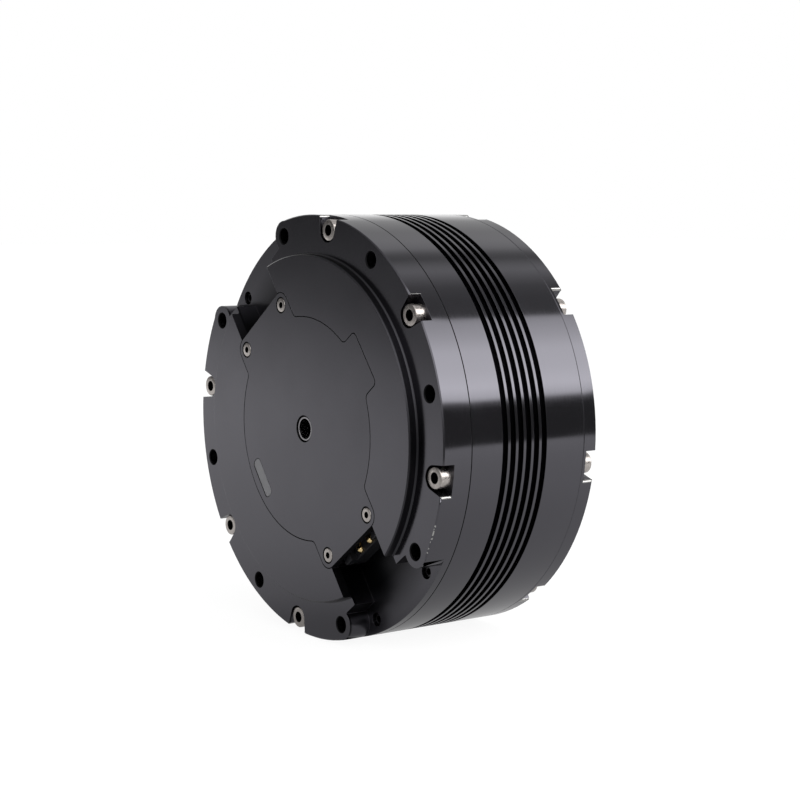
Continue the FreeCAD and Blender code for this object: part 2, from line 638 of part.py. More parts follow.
def middle_housing():
    """The finned shell. Its shoulder stops the stator from the rear and the ring gear from the front."""
    outline = [
        ("shell_bore", "rear_length + spigot_length + spigot_gap"),
        ("spigot_radius", "rear_length + spigot_length + spigot_gap"),
        ("spigot_radius", "rear_length"),
        ("body_radius - seam_chamfer", "rear_length"),
        ("body_radius", "rear_length + seam_chamfer"),
    ]
    for index in range(count("fin_count")):
        low = f"fin_start + {index} * (fin_groove + fin_rib)"
        high = f"{low} + fin_groove"
        outline += [("body_radius", low), ("body_radius - fin_depth", low),
                    ("body_radius - fin_depth", high), ("body_radius", high)]
    outline += [
        ("body_radius", f"{SEAM_TWO} - seam_chamfer"),
        ("body_radius - seam_chamfer", SEAM_TWO),
        ("spigot_radius", SEAM_TWO),
        ("spigot_radius", f"{SEAM_TWO} - spigot_length - spigot_gap"),
        ("shell_bore", f"{SEAM_TWO} - spigot_length - spigot_gap"),
        ("shell_bore", "ring_flange_start"),
        ("shoulder_radius", "ring_flange_start"),
        ("shoulder_radius", "stack_start + stack_length"),
        ("shell_bore", "stack_start + stack_length"),
    ]
    body = clocked(new_body("middle_housing"))
    turned(body, "finned_shell", outline)
    rear = sketch(body, "rear_threads", REAR_VIEW, "rear_length")
    for angle in SCREW_ANGLES:
        circle(rear, *on_circle("screw_circle", angle), "screw_thread / 2 + thread_gap")
    for middle in (90, 270):
        for side in ("-", "+"):
            circle(rear, *on_circle("screw_circle", f"{middle} {side} grub_angle"),
                   "screw_thread / 2 + thread_gap")
    pocket(body, "rear_thread_cut", rear, "fin_land - fin_rib")
    front = sketch(body, "front_threads", REAR_VIEW, SEAM_TWO)
    for step in range(8):
        circle(front, *on_circle("screw_circle", 45 * step), "screw_thread / 2 + thread_gap")
    pocket(body, "front_thread_cut", front, "front_reach", towards_rear=True)
    return body


def front_housing():
    """The front shell: it carries the output bearing and clamps the ring gear's flange."""
    body = clocked(new_body("front_housing"))
    turned(body, "front_shell", [
        ("output_bearing_outer - bearing_ledge", RING_FLANGE_END),
        ("shell_bore - spigot_gap", RING_FLANGE_END),
        ("shell_bore - spigot_gap", f"{SEAM_TWO} - spigot_length"),
        ("spigot_radius - spigot_gap", f"{SEAM_TWO} - spigot_length"),
        ("spigot_radius - spigot_gap", SEAM_TWO),
        ("body_radius - seam_chamfer", SEAM_TWO),
        ("body_radius", f"{SEAM_TWO} + seam_chamfer"),
        ("body_radius", "body_length - rim_chamfer"),
        ("body_radius - rim_chamfer", "body_length"),
        ("retainer_radius + cover_gap", "body_length"),
        ("retainer_radius + cover_gap", BEARING_END),
        ("output_bearing_outer", BEARING_END),
        ("output_bearing_outer", "output_bearing_start"),
        ("output_bearing_outer - bearing_ledge", "output_bearing_start"),
    ])
    screw_seats(body, "body_length", tuple(range(0, 360, 45)), "front_length + overcut", towards_rear=True)
    small = sketch(body, "retainer_threads", REAR_VIEW, BEARING_END)
    for step in range(8):
        circle(small, *on_circle("retainer_circle", 22.5 + 45 * step), "small_thread / 2 + thread_gap")
    pocket(body, "retainer_thread_cut", small, "small_reach", towards_rear=True)
    return body


def cover_plate():
    body = clocked(new_body("cover_plate"))
    cover_outline(body, "0", "-disc_height", "cover_thickness", cut=False)
    bore = sketch(body, "cover_centre", REAR_VIEW, "-disc_height")
    circle(bore, "0", "0", "cover_bore")
    pocket(body, "cover_centre_cut", bore, "cover_thickness")
    window_outline(body, "window_gap", "-disc_height", "cover_thickness", cut=True)
    heads = sketch(body, "head_seats", REAR_VIEW, "-disc_height")
    holes = sketch(body, "screw_holes", REAR_VIEW, "-disc_height")
    for x_side in ("", "-"):
        for z_side in ("", "-"):
            circle(heads, f"{x_side}cover_screw_x", f"{z_side}cover_screw_z", "small_head / 2 + hole_gap")
            circle(holes, f"{x_side}cover_screw_x", f"{z_side}cover_screw_z", "small_thread / 2 + hole_gap")
    pocket(body, "head_seat_cut", heads, "small_head_height")
    pocket(body, "screw_hole_cut", holes, "cover_thickness")
    return body


def window_outline(body, grow, at, depth, cut):
    """The status window's outline with its round ends, as material or as the opening that takes it."""
    make = pocket if cut else pad
    middle = sketch(body, "window_middle", REAR_VIEW, at)
    box(middle, f"-window_place - window_width / 2 - {grow}", f"-window_place + window_width / 2 + {grow}",
        "-(window_length - window_width) / 2", "(window_length - window_width) / 2")
    make(body, "window_middle_form", middle, depth)
    ends = sketch(body, "window_ends", REAR_VIEW, at)
    for side in ("", "-"):
        circle(ends, "-window_place", f"{side}(window_length - window_width) / 2",
               f"window_width / 2 + {grow}")
    make(body, "window_end_form", ends, depth)


def status_window():
    body = clocked(new_body("status_window"))
    window_outline(body, "0", "-disc_height + window_sink", "cover_thickness - window_sink", cut=False)
    return body


# --- screws ---------------------------------------------------------------------------------------

SOCKET_SHARE = 0.6          # depth of a socket, as a share of its head
CHAMFER_SHARE = 0.08        # chamfer of a head, as a share of its radius


def cap_screw(head_radius, head_height, socket, thread_radius, reach):
    """A socket screw with the top of its head at the origin, pointing along +Y."""
    chamfer = CHAMFER_SHARE * head_radius
    section = Part.makePolygon([Vector(*point) for point in (
        (0, 0, 0), (head_radius - chamfer, 0, 0), (head_radius, chamfer, 0), (head_radius, head_height, 0),
        (thread_radius, head_height, 0), (thread_radius, head_height + reach, 0),
        (0, head_height + reach, 0), (0, 0, 0))])
    screw = Part.Face(section).revolve(Vector(0, 0, 0), Vector(0, 1, 0), 360)
    corner = socket / math.sqrt(3)
    hexagon = Part.makePolygon([
        Vector(corner * math.cos(math.radians(60 * i)), 0, corner * math.sin(math.radians(60 * i)))
        for i in range(7)])
    return screw.cut(Part.Face(hexagon).extrude(Vector(0, SOCKET_SHARE * head_height, 0)))


def m3_screw(reach):
    return cap_screw(size("screw_head") / 2, size("screw_head_height"), size("screw_socket"),
                     size("screw_thread") / 2, reach)


def m2_screw():
    return cap_screw(size("small_head") / 2, size("small_head_height"), size("small_socket"),
                     size("small_thread") / 2, size("small_reach"))


def casing_screws():
    sunk = size("seat_depth") - size("screw_head_height")
    clock = size("clock_angle")
    radius = size("screw_circle") / 2
    copies("rear_housing_screws", m3_screw(size("screw_reach")),
           [at_radius(radius, clock + angle, sunk) for angle in SCREW_ANGLES])
    flip = Placement(Vector(0, 0, 0), Rotation(Vector(1, 0, 0), 180))
    copies("front_housing_screws", m3_screw(size("front_reach")), [
        at_radius(radius, clock + 45 * step, size("body_length") - sunk).multiply(flip)
        for step in range(8)])
    half = size("grub_length") / 2
    grub = cap_screw(size("screw_thread") / 2, half, size("grub_socket"), size("screw_thread") / 2, half)
    copies("channel_screws", grub, [
        at_radius(radius, clock + middle + side * size("grub_angle"),
                  size("channel_floor") + size("grub_sink"))
        for middle in (90, 270) for side in (-1, 1)])


def small_screws():
    clock = turn(size("clock_angle"))
    across, along = size("cover_screw_x"), size("cover_screw_z")
    copies("cover_screws", m2_screw(), [
        clock.multiply(placed(x_side * across, -size("disc_height"), z_side * along))
        for x_side in (-1, 1) for z_side in (-1, 1)])
    copies("board_screws", m2_screw(), [
        at_radius(size("board_screw_circle") / 2, size("clock_angle") + 45 + 90 * step,
                  size("board_place") - size("small_head_height")) for step in range(4)])
    flip = Placement(Vector(0, 0, 0), Rotation(Vector(1, 0, 0), 180))
    copies("retainer_screws", m2_screw(), [
        at_radius(size("retainer_circle") / 2, size("clock_angle") + 22.5 + 45 * step,
                  size("body_length") - size("retainer_sink")).multiply(flip) for step in range(8)])


# --- electronics ----------------------------------------------------------------------------------

def driver_board():
    body = clocked(new_body("driver_board"))
    disc = sketch(body, "board_disc", REAR_VIEW, "board_place")
    circle(disc, "0", "0", "board_radius")
    circle(disc, "0", "0", "board_bore")
    pad(body, "board", disc, "board_thickness")
    flats = sketch(body, "board_flats", REAR_VIEW, "board_place")
    for side in ("", "-"):
        box(flats, "-plug_width / 2 - board_clear", "plug_width / 2 + board_clear",
            f"{side}board_flat", f"{side}(board_radius + overcut)")
    pocket(body, "board_flat_cut", flats, "board_thickness")
    holes = sketch(body, "board_holes", REAR_VIEW, "board_place")
    for step in range(4):
        circle(holes, *on_circle("board_screw_circle", 45 + 90 * step), "small_thread / 2 + hole_gap")
    pocket(body, "board_hole_cut", holes, "board_thickness")
    return body


def component(width, length, height, x=0.0, z=0.0):
    """A block on the rear side of the board, with its middle at x, z."""
    corner = Vector(x - width / 2, size("board_place") - height, z - length / 2)
    return Part.makeBox(width, height, length, corner)


def board_components():
    """Twelve power transistors in a circle, two controllers and a row of capacitors."""
    height = size("component_height")
    transistor = component(size("transistor_width"), size("transistor_length"), height)
    reach = size("board_radius") - size("transistor_inset")
    blocks = [transistor.transformed(at_radius(reach, 15 + 30 * step).toMatrix()) for step in range(12)]
    chip = size("controller_size")
    for side in (-0.5, 0.5):
        blocks.append(component(chip, chip, height,
                                side * size("controller_pitch"), size("controller_place")))
    for step in (-1, 0, 1):
        blocks.append(component(size("capacitor_width"), size("capacitor_length"), size("capacitor_height"),
                                step * size("capacitor_pitch"), -size("capacitor_place")))
    clock = turn(size("clock_angle")).toMatrix()
    solid_node("board_components", Part.makeCompound([block.transformed(clock) for block in blocks]))


def connector(label, side):
    """A two-pole power connector that looks out into its channel; side is 1 or -1 along the channel."""
    body = clocked(new_body(label))
    block = sketch(body, "connector_block", REAR_VIEW, "plug_top")
    box(block, "-plug_width / 2", "plug_width / 2", f"{side} * plug_start", f"{side} * plug_front")
    pad(body, "connector_body", block, "channel_floor - plug_gap - plug_top")
    soften(body, "connector_corners", "plug_edge", lambda point: abs(point.z) > size("notch_start"))
    notch = sketch(body, "contact_notch", REAR_VIEW, "plug_top")
    box(notch, "-notch_width / 2", "notch_width / 2",
        f"{side} * notch_start", f"{side} * (plug_front + overcut)")
    pocket(body, "notch_cut", notch, "pin_depth - plug_top")
    holes = sketch(body, "contact_bores", SECTION)
    holes.setExpression("AttachmentOffset.Base.z", bound(f"{side} * pin_front"))
    for pole in ("", "-"):
        circle(holes, f"{pole}pin_pitch / 2", "pin_depth", "pin_radius")
    pocket(body, "contact_bore_cut", holes, "pin_length", towards_rear=side < 0)


def connector_pins():
    """The gold contacts of both connectors, half sunk in the floor of each notch."""
    pins = []
    for side in (-1, 1):
        for pole in (-0.5, 0.5):
            tip = Vector(pole * size("pin_pitch"), size("pin_depth"), side * size("pin_front"))
            pins.append(Part.makeCylinder(size("pin_radius"), size("pin_length"), tip, Vector(0, 0, -side)))
    clock = turn(size("clock_angle")).toMatrix()
    solid_node("connector_pins", Part.makeCompound([pin.transformed(clock) for pin in pins]))


# --- motor ----------------------------------------------------------------------------------------

def stator_core():
    body = new_body("stator_core")
    turned(body, "stack", [
        ("stator_bore", "stack_start"), ("shell_bore", "stack_start"),
        ("shell_bore", "stack_start + stack_length"), ("stator_bore", "stack_start + stack_length")])
    slot = sketch(body, "slot", REAR_VIEW, "stack_start")
    polygon(slot, [
        ("stator_bore - overcut", "-slot_mouth / 2"), ("stator_bore + tooth_shoe", "-slot_mouth / 2"),
        ("stator_bore + tooth_shoe", "-slot_width / 2"), ("stator_bore + slot_depth", "-slot_width / 2"),
        ("stator_bore + slot_depth", "slot_width / 2"), ("stator_bore + tooth_shoe", "slot_width / 2"),
        ("stator_bore + tooth_shoe", "slot_mouth / 2"), ("stator_bore - overcut", "slot_mouth / 2")])
    cut = pocket(body, "slot_cut", slot, "stack_length")
    around(body, "slots", cut, slot, "slot_count")
    return body


def windings():
    """One coil round each stator tooth, as a rectangular frame that fits between two slots."""
    slots = count("slot_count")
    half_pitch = math.radians(180 / slots)
    gap, wire, head = size("coil_gap"), size("coil_thickness"), size("coil_head")
    slot_end = size("stator_bore") + size("slot_depth")
    inside = (slot_end * math.sin(half_pitch) - size("slot_width") / 2) / math.cos(half_pitch) + gap
    outside = inside + wire
    low = size("stator_bore") + size("tooth_shoe") + gap
    high = (slot_end - gap - outside * math.sin(half_pitch)) / math.cos(half_pitch)
    start, length = size("stack_start"), size("stack_length")
    outer = Part.makeBox(high - low, length + 2 * head, 2 * outside, Vector(low, start - head, -outside))
    inner = Part.makeBox(high - low, length + 2 * gap, 2 * inside, Vector(low, start - gap, -inside))
    coil = outer.cut(inner)
    copies("windings", coil, [turn(360 / slots * (step + 0.5)) for step in range(slots)])


def magnets():
    outer = size("stator_bore") - size("air_gap")
    inner = outer - size("magnet_thickness")
    poles = count("pole_count")
    span = 360 / poles - math.degrees(size("pole_space") / outer)
    start = size("yoke_start") + size("magnet_inset")
    length = size("yoke_length") - 2 * size("magnet_inset")
    wedge = Part.makeCylinder(outer, length, Vector(0, start, 0), Vector(0, 1, 0), span)
    magnet = wedge.cut(Part.makeCylinder(inner, length, Vector(0, start, 0), Vector(0, 1, 0)))
    copies("magnets", magnet, [turn(360 / poles * step) for step in range(poles)])


def rotor():
    yoke_outer = "(stator_bore - air_gap - magnet_thickness)"
    yoke_inner = f"({yoke_outer} - yoke_thickness)"
    ring("rotor_ring", yoke_inner, yoke_outer, "yoke_start", "yoke_start + yoke_length")
    hub = new_body("rotor_hub")
    turned(hub, "hub", [
        ("sun_shaft", "journal_start"), ("bearing_bore", "journal_start"),
        ("bearing_bore", "hub_start - hub_step"), ("bearing_bore + hub_shoulder", "hub_start - hub_step"),
        ("bearing_bore + hub_shoulder", "hub_start"), (yoke_outer, "hub_start"), (yoke_outer, "yoke_start"),
        (yoke_inner, "yoke_start"), (yoke_inner, "hub_start + hub_web"),
        ("sun_shaft", "hub_start + hub_web")])
    windows = sketch(hub, "hub_window", REAR_VIEW, "hub_start")
    circle(windows, "hub_window_place", "0", "hub_window_radius")
    cut = pocket(hub, "hub_window_cut", windows, "hub_web")
    around(hub, "hub_windows", cut, windows, "hub_window_count")
    ring("encoder_magnet", "sun_shaft", "bearing_bore - encoder_inset",
         "journal_start - encoder_length", "journal_start")


def rotor_bearing():
    middle = "(bearing_bore + bearing_outer) / 2"
    ring("rotor_bearing_inner", "bearing_bore", f"{middle} - race_slit",
         "bearing_start", "bearing_start + bearing_width")
    ring("rotor_bearing_outer", f"{middle} + race_slit", "bearing_outer",
         "bearing_start", "bearing_start + bearing_width")
    for label in ("rotor_bearing_inner", "rotor_bearing_outer"):
        body = doc.getObject(label)
        groove = sketch(body, "race", SECTION)
        circle(groove, middle, "bearing_start + bearing_width / 2", "ball_radius + race_gap")
        cut = body.newObject("PartDesign::Groove", "race_cut")
        cut.Profile = groove
        cut.ReferenceAxis = (groove, ["V_Axis"])
        cut.Angle = 360
    ball = Part.makeSphere(size("ball_radius"))
    balls = count("ball_count")
    radius = (size("bearing_bore") + size("bearing_outer")) / 2
    along = size("bearing_start") + size("bearing_width") / 2
    places = [at_radius(radius, 360 / balls * step, along) for step in range(balls)]
    copies("rotor_bearing_balls", ball, places)


# --- planetary stage ------------------------------------------------------------------------------

def involute(base, radius):
    """Polar angle of an involute from its start on the base circle to the given radius."""
    if radius <= base:
        return 0.0
    roll = math.sqrt((radius / base) ** 2 - 1)
    return roll - math.atan(roll)


OFF_BASE = 1.0001           # a flank starts this much outside its base circle


def gear_face(teeth, tip, root, internal=False):
    """A spur gear's face in the XZ plane, with the middle of a tooth on +X.

    Each flank is an arc through three points of the involute. The teeth of a ring gear are the gaps of
    an external gear, so its flanks are drawn with the tooth thickened instead of thinned.
    """
    module = size("gear_module")
    pitch = module * teeth / 2
    base = pitch * math.cos(math.radians(size("pressure_angle")))
    thin = -size("backlash") / 2 if internal else size("backlash") / 2
    half_tooth = (math.pi * module / 2 - thin) / (2 * pitch)
    middle = half_tooth + involute(base, pitch)
    offset = math.pi / teeth if internal else 0.0

    def point(radius, angle):
        return Vector(radius * math.cos(angle), 0, radius * math.sin(angle))

    def flank(radius, sign, centre):
        return point(radius, centre + sign * (middle - involute(base, radius)))

    low = max(root, base * OFF_BASE)
    mid = (low + tip) / 2
    edges = []
    step = 2 * math.pi / teeth
    for index in range(teeth):
        centre = index * step + offset
        rise = [flank(radius, -1, centre) for radius in (low, mid, tip)]
        fall = [flank(radius, 1, centre) for radius in (tip, mid, low)]
        foot_in = point(root, centre - middle)
        foot_out = point(root, centre + middle)
        next_foot = point(root, centre + step - middle)
        if low > root:
            edges.append(Part.LineSegment(foot_in, rise[0]).toShape())
        edges.append(Part.Arc(*rise).toShape())
        edges.append(Part.Arc(rise[2], point(tip, centre), fall[0]).toShape())
        edges.append(Part.Arc(*fall).toShape())
        start = fall[2]
        if low > root:
            edges.append(Part.LineSegment(fall[2], foot_out).toShape())
            start = foot_out
        end = next_foot if low > root else flank(root, -1, centre + step)
        edges.append(Part.Arc(start, point(root, centre + step / 2), end).toShape())
    return Part.Face(Part.Wire(edges))


def external_gear(teeth, start, width):
    module = size("gear_module")
    pitch = module * teeth / 2
    face = gear_face(teeth, pitch + module, pitch - module * (1 + size("root_gap")))
    face.translate(Vector(0, start, 0))
    return face.extrude(Vector(0, width, 0))


def shaft(radius, start, end):
    return Part.makeCylinder(radius, end - start, Vector(0, start, 0), Vector(0, 1, 0))


def sun_gear():
    start, end = size("journal_start"), size("sun_end")
    teeth_start = size("hub_start") + size("hub_web") + size("hub_step")
    teeth_end = size("gear_start") + size("gear_width")
    gear = external_gear(count("sun_teeth"), teeth_start, teeth_end - teeth_start)
    gear = gear.fuse(shaft(size("sun_shaft"), start, end))
    solid_node("sun_gear", gear.cut(shaft(size("sun_bore"), start, end)))


def ring_gear():
    module = size("gear_module")
    teeth = count("ring_teeth")
    pitch = module * teeth / 2
    root = pitch + module * (1 + size("root_gap"))
    start = size("gear_start") - size("ring_side")
    flange = size("ring_flange_start")
    end = flange + size("ring_flange_thick")
    body = shaft(size("ring_outer"), start, end)
    body = body.fuse(shaft(size("shell_bore") - size("flange_gap"), flange, end))
    toothed = size("gear_start") + size("gear_width") + size("ring_side")
    space = gear_face(teeth, root, pitch - module, internal=True)
    space.translate(Vector(0, start, 0))
    body = body.cut(space.extrude(Vector(0, toothed - start, 0)))
    solid_node("ring_gear", body.cut(shaft(root, toothed, end)))


def planets():
    """Planet 1 stands on +X; a gap of each planet faces the sun, and another faces the ring."""
    start, width = size("gear_start"), size("gear_width")
    teeth = count("planet_teeth")
    centre = size("gear_module") * (size("sun_teeth") + size("planet_teeth")) / 2
    end = start + width
    bush = shaft(size("planet_bush"), start, end)
    gear = external_gear(teeth, start, width).cut(bush).transformed(turn(180 / teeth).toMatrix())
    bush = bush.cut(shaft(size("planet_pin") + size("running_gap"), start, end))
    number = count("planet_count")
    for index in range(number):
        place = at_radius(centre, 360 / number * index).toMatrix()
        solid_node(f"planet_gear_{index + 1}", gear.transformed(place))
        solid_node(f"planet_bush_{index + 1}", bush.transformed(place))
    pin = shaft(size("planet_pin"), size("plate_start"), size("carrier_start") + size("pin_seat"))
    copies("planet_pins", pin, [at_radius(centre, 360 / number * index) for index in range(number)])


def carrier():
    place = "gear_module * (sun_teeth + planet_teeth)"
    front = new_body("planet_carrier")
    turned(front, "carrier_disc", [
        ("sun_shaft + pilot_wall", "carrier_start"), ("carrier_radius", "carrier_start"),
        ("carrier_radius", "carrier_end"), ("tube_radius + tube_room", "carrier_end"),
        ("tube_radius + tube_room", "sun_end + sun_room"),
        ("sun_shaft + pilot_wall", "sun_end + sun_room")])
    bridges = sketch(front, "bridges", REAR_VIEW, "plate_start + plate_thick")
    pins = sketch(front, "pin_bores", REAR_VIEW, "carrier_start")
    for step in range(3):
        circle(bridges, *on_circle("bridge_place * 2", 60 + 120 * step), "bridge_radius")
        circle(pins, *on_circle(place, 120 * step), "planet_pin")
    pad(front, "bridge_form", bridges, "carrier_start - plate_start - plate_thick")
    pocket(front, "pin_bore_cut", pins, "pin_seat")
    threads = sketch(front, "bridge_threads", REAR_VIEW, "plate_start + plate_thick")
    for step in range(3):
        circle(threads, *on_circle("bridge_place * 2", 60 + 120 * step), "screw_thread / 2 + thread_gap")
    pocket(front, "bridge_thread_cut", threads, "bridge_thread")
    links = sketch(front, "link_threads", REAR_VIEW, "carrier_end")
    for step in range(6):
        circle(links, *on_circle("link_circle", 30 + 60 * step), "screw_thread / 2 + thread_gap")
    pocket(front, "link_thread_cut", links, "link_thread", towards_rear=True)

    rear = new_body("carrier_plate")
    opening = "gear_module * (sun_teeth / 2 + 1) + plate_room"
    turned(rear, "plate_disc", [
        (opening, "plate_start"), ("carrier_radius", "plate_start"),
        ("carrier_radius", "plate_start + plate_thick"), (opening, "plate_start + plate_thick")])
    holes = sketch(rear, "plate_holes", REAR_VIEW, "plate_start")
    heads = sketch(rear, "plate_head_seats", REAR_VIEW, "plate_start")
    for step in range(3):
        circle(holes, *on_circle(place, 120 * step), "planet_pin")
        circle(holes, *on_circle("bridge_place * 2", 60 + 120 * step), "screw_thread / 2 + hole_gap")
        circle(heads, *on_circle("bridge_place * 2", 60 + 120 * step), "screw_head / 2 + hole_gap")
    pocket(rear, "plate_hole_cut", holes, "plate_thick")
    pocket(rear, "plate_head_cut", heads, "low_head_height")
    low_screw = cap_screw(size("screw_head") / 2, size("low_head_height"), size("low_socket"),
                          size("screw_thread") / 2, size("bridge_reach"))
    copies("carrier_screws", low_screw, [
        at_radius(size("bridge_place"), 60 + 120 * step, size("plate_start")) for step in range(3)])
    ring("pilot_bush", "sun_shaft + running_gap", "sun_shaft + pilot_wall",
         "carrier_start + sun_room / 2", "sun_end + sun_room / 2")


# --- output ---------------------------------------------------------------------------------------

OUTPUT_FACE = "(body_length + output_proud)"
BEARING_MIDDLE = "(output_hub + output_bearing_outer) / 2"


def output_flange():
    body = new_body("output_flange")
    turned(body, "flange", [
        ("tube_radius", "carrier_end"), ("output_hub", "carrier_end"), ("output_hub", BEARING_END),
        (BEARING_MIDDLE + " - race_split", BEARING_END),
        (BEARING_MIDDLE + " - race_split", BEARING_END + " + flange_relief"),
        ("output_radius", BEARING_END + " + flange_relief"),
        ("output_radius", f"{OUTPUT_FACE} - rim_chamfer"), ("output_radius - rim_chamfer", OUTPUT_FACE),
        ("pilot_radius", OUTPUT_FACE), ("pilot_radius", f"{OUTPUT_FACE} - pilot_depth"),
        ("tube_radius", f"{OUTPUT_FACE} - pilot_depth")])
    threads = sketch(body, "output_threads", REAR_VIEW, OUTPUT_FACE)
    for step in range(count("output_holes")):
        circle(threads, *on_circle("output_circle", f"{step} * 360 / output_holes"), "mount_hole / 2")
    pocket(body, "output_thread_cut", threads, "output_depth", towards_rear=True)
    seats = sketch(body, "link_seats", REAR_VIEW, OUTPUT_FACE)
    holes = sketch(body, "link_holes", REAR_VIEW, OUTPUT_FACE)
    for step in range(6):
        circle(seats, *on_circle("link_circle", 30 + 60 * step), "screw_head / 2 + seat_gap")
        circle(holes, *on_circle("link_circle", 30 + 60 * step), "screw_thread / 2 + hole_gap")
    pocket(body, "link_seat_cut", seats, "seat_depth", towards_rear=True)
    pocket(body, "link_hole_cut", holes, f"{OUTPUT_FACE} - carrier_end", towards_rear=True)
    flip = Placement(Vector(0, 0, 0), Rotation(Vector(1, 0, 0), 180))
    sunk = size("body_length") + size("output_proud") - size("seat_depth") + size("screw_head_height")
    copies("output_flange_screws", m3_screw(size("link_reach")), [
        at_radius(size("link_circle") / 2, 30 + 60 * step, sunk).multiply(flip) for step in range(6)])
    return body


def output_bearing():
    """A crossed-roller bearing: square rollers' paths cut as a V in each ring."""
    middle = BEARING_MIDDLE
    start = "output_bearing_start"
    along = "(output_bearing_start + output_bearing_width / 2)"
    ring("output_bearing_inner", "output_hub", f"{middle} - race_split", start, BEARING_END)
    ring("output_bearing_outer", f"{middle} + race_split", "output_bearing_outer", start, BEARING_END)
    reach = "((roller_size / 2 + race_gap) * sqrt(2))"
    for label in ("output_bearing_inner", "output_bearing_outer"):
        body = doc.getObject(label)
        groove = sketch(body, "race", SECTION)
        polygon(groove, [(f"{middle} - {reach}", along), (middle, f"{along} - {reach}"),
                         (f"{middle} + {reach}", along), (middle, f"{along} + {reach}")])
        cut = body.newObject("PartDesign::Groove", "race_cut")
        cut.Profile = groove
        cut.ReferenceAxis = (groove, ["V_Axis"])
        cut.Angle = 360
    roller_radius = size("roller_size") / 2
    length = size("roller_size") - 2 * size("race_gap")
    radius = (size("output_hub") + size("output_bearing_outer")) / 2
    centre = size("output_bearing_start") + size("output_bearing_width") / 2
    rollers = []
    number = count("roller_count")
    for step in range(number):
        tilt = 45 if step % 2 else -45
        roller = Part.makeCylinder(roller_radius, length, Vector(0, -length / 2, 0), Vector(0, 1, 0))
        lean = Placement(Vector(0, 0, 0), Rotation(Vector(0, 0, 1), tilt))
        place = at_radius(radius, 360 / number * step, centre).multiply(lean)
        rollers.append(roller.transformed(place.toMatrix()))
    solid_node("output_bearing_rollers", Part.makeCompound(rollers))


def bearing_retainer():
    body = clocked(new_body("bearing_retainer"))
    front = "body_length - retainer_sink"
    seal = "(output_radius + seal_gap + seal_width)"
    turned(body, "retainer", [
        (seal, BEARING_END), ("retainer_radius", BEARING_END), ("retainer_radius", front), (seal, front)])
    seats = sketch(body, "retainer_seats", REAR_VIEW, front)
    holes = sketch(body, "retainer_holes", REAR_VIEW, front)
    for step in range(8):
        circle(seats, *on_circle("retainer_circle", 22.5 + 45 * step), "small_head / 2 + hole_gap")
        circle(holes, *on_circle("retainer_circle", 22.5 + 45 * step), "small_thread / 2 + hole_gap")
    pocket(body, "retainer_seat_cut", seats, "small_head_height", towards_rear=True)
    pocket(body, "retainer_hole_cut", holes, f"{front} - {BEARING_END}", towards_rear=True)
    ring("output_seal", "output_radius + seal_gap", seal, BEARING_END, f"{front} - seal_sink")


def build():
    rear_housing()
    middle_housing()
    front_housing()
    cover_plate()
    status_window()
    casing_screws()
    small_screws()
    driver_board()
    board_components()
    ring("thermal_pad", "pad_inner", "pad_outer", "board_place + board_thickness", "cavity_floor")
    connector("upper_connector", 1)
    connector("lower_connector", -1)
    connector_pins()
    stator_core()
    windings()
    rotor()
    magnets()
    rotor_bearing()
    sun_gear()
    ring_gear()
    planets()
    carrier()
    output_flange()
    output_bearing()
    bearing_retainer()
    ring("centre_tube", "tube_bore", "tube_radius", "-tube_rear", f"{OUTPUT_FACE} - pilot_depth")


def check():
    """Stop at any object that failed, and at any piece that isn't a sound solid."""
    doc.recompute()
    for item in doc.Objects:
        if "Invalid" in item.State or "Error" in item.State:
            raise RuntimeError(f"{item.Name} did not build: {item.State}")
    for part in PARTS:
        if part.Shape.isNull() or not part.Shape.isValid() or not part.Shape.Solids:
            raise RuntimeError(f"{part.Label} is not a sound solid")


build()
check()
os.makedirs("parts", exist_ok=True)
for part in PARTS:
    part.Shape.exportStep(os.path.join("parts", f"{part.Label}.step"))
print(len(PARTS), "parts written")
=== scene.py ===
"""A hollow-shaft robot joint actuator in black anodised aluminium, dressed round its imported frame.

The axis of rotation is Y and the rear face looks along -Y. The frame gives every place and size. This file
gives the finishes, the machined edges, the screws and contacts, and the studio.
"""

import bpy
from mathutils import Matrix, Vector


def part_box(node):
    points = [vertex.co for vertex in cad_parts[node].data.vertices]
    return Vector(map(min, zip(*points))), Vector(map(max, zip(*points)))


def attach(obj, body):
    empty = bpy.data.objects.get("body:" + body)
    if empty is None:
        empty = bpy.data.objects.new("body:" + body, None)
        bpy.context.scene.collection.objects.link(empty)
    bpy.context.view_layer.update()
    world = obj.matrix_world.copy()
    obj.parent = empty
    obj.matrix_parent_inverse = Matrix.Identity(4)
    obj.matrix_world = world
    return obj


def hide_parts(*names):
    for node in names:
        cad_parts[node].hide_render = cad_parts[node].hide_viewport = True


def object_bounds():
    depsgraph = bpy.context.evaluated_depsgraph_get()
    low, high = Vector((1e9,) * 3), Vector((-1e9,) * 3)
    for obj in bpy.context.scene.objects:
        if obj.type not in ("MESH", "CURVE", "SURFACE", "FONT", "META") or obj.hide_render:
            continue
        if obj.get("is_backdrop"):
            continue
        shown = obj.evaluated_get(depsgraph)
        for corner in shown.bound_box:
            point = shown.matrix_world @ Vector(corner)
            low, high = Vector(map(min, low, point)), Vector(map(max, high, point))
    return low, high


bl_info = {
    "name": "Joint actuator",
    "version": (1, 0, 0),
    "blender": (4, 5, 0),
    "location": "View3D > Sidebar > Actuator",
    "description": "Finishes, screws, contacts and studio of a hollow-shaft joint actuator",
    "category": "Object",
}

import math

import bmesh
import bpy
from bpy.props import FloatProperty, FloatVectorProperty, PointerProperty
from mathutils import Vector

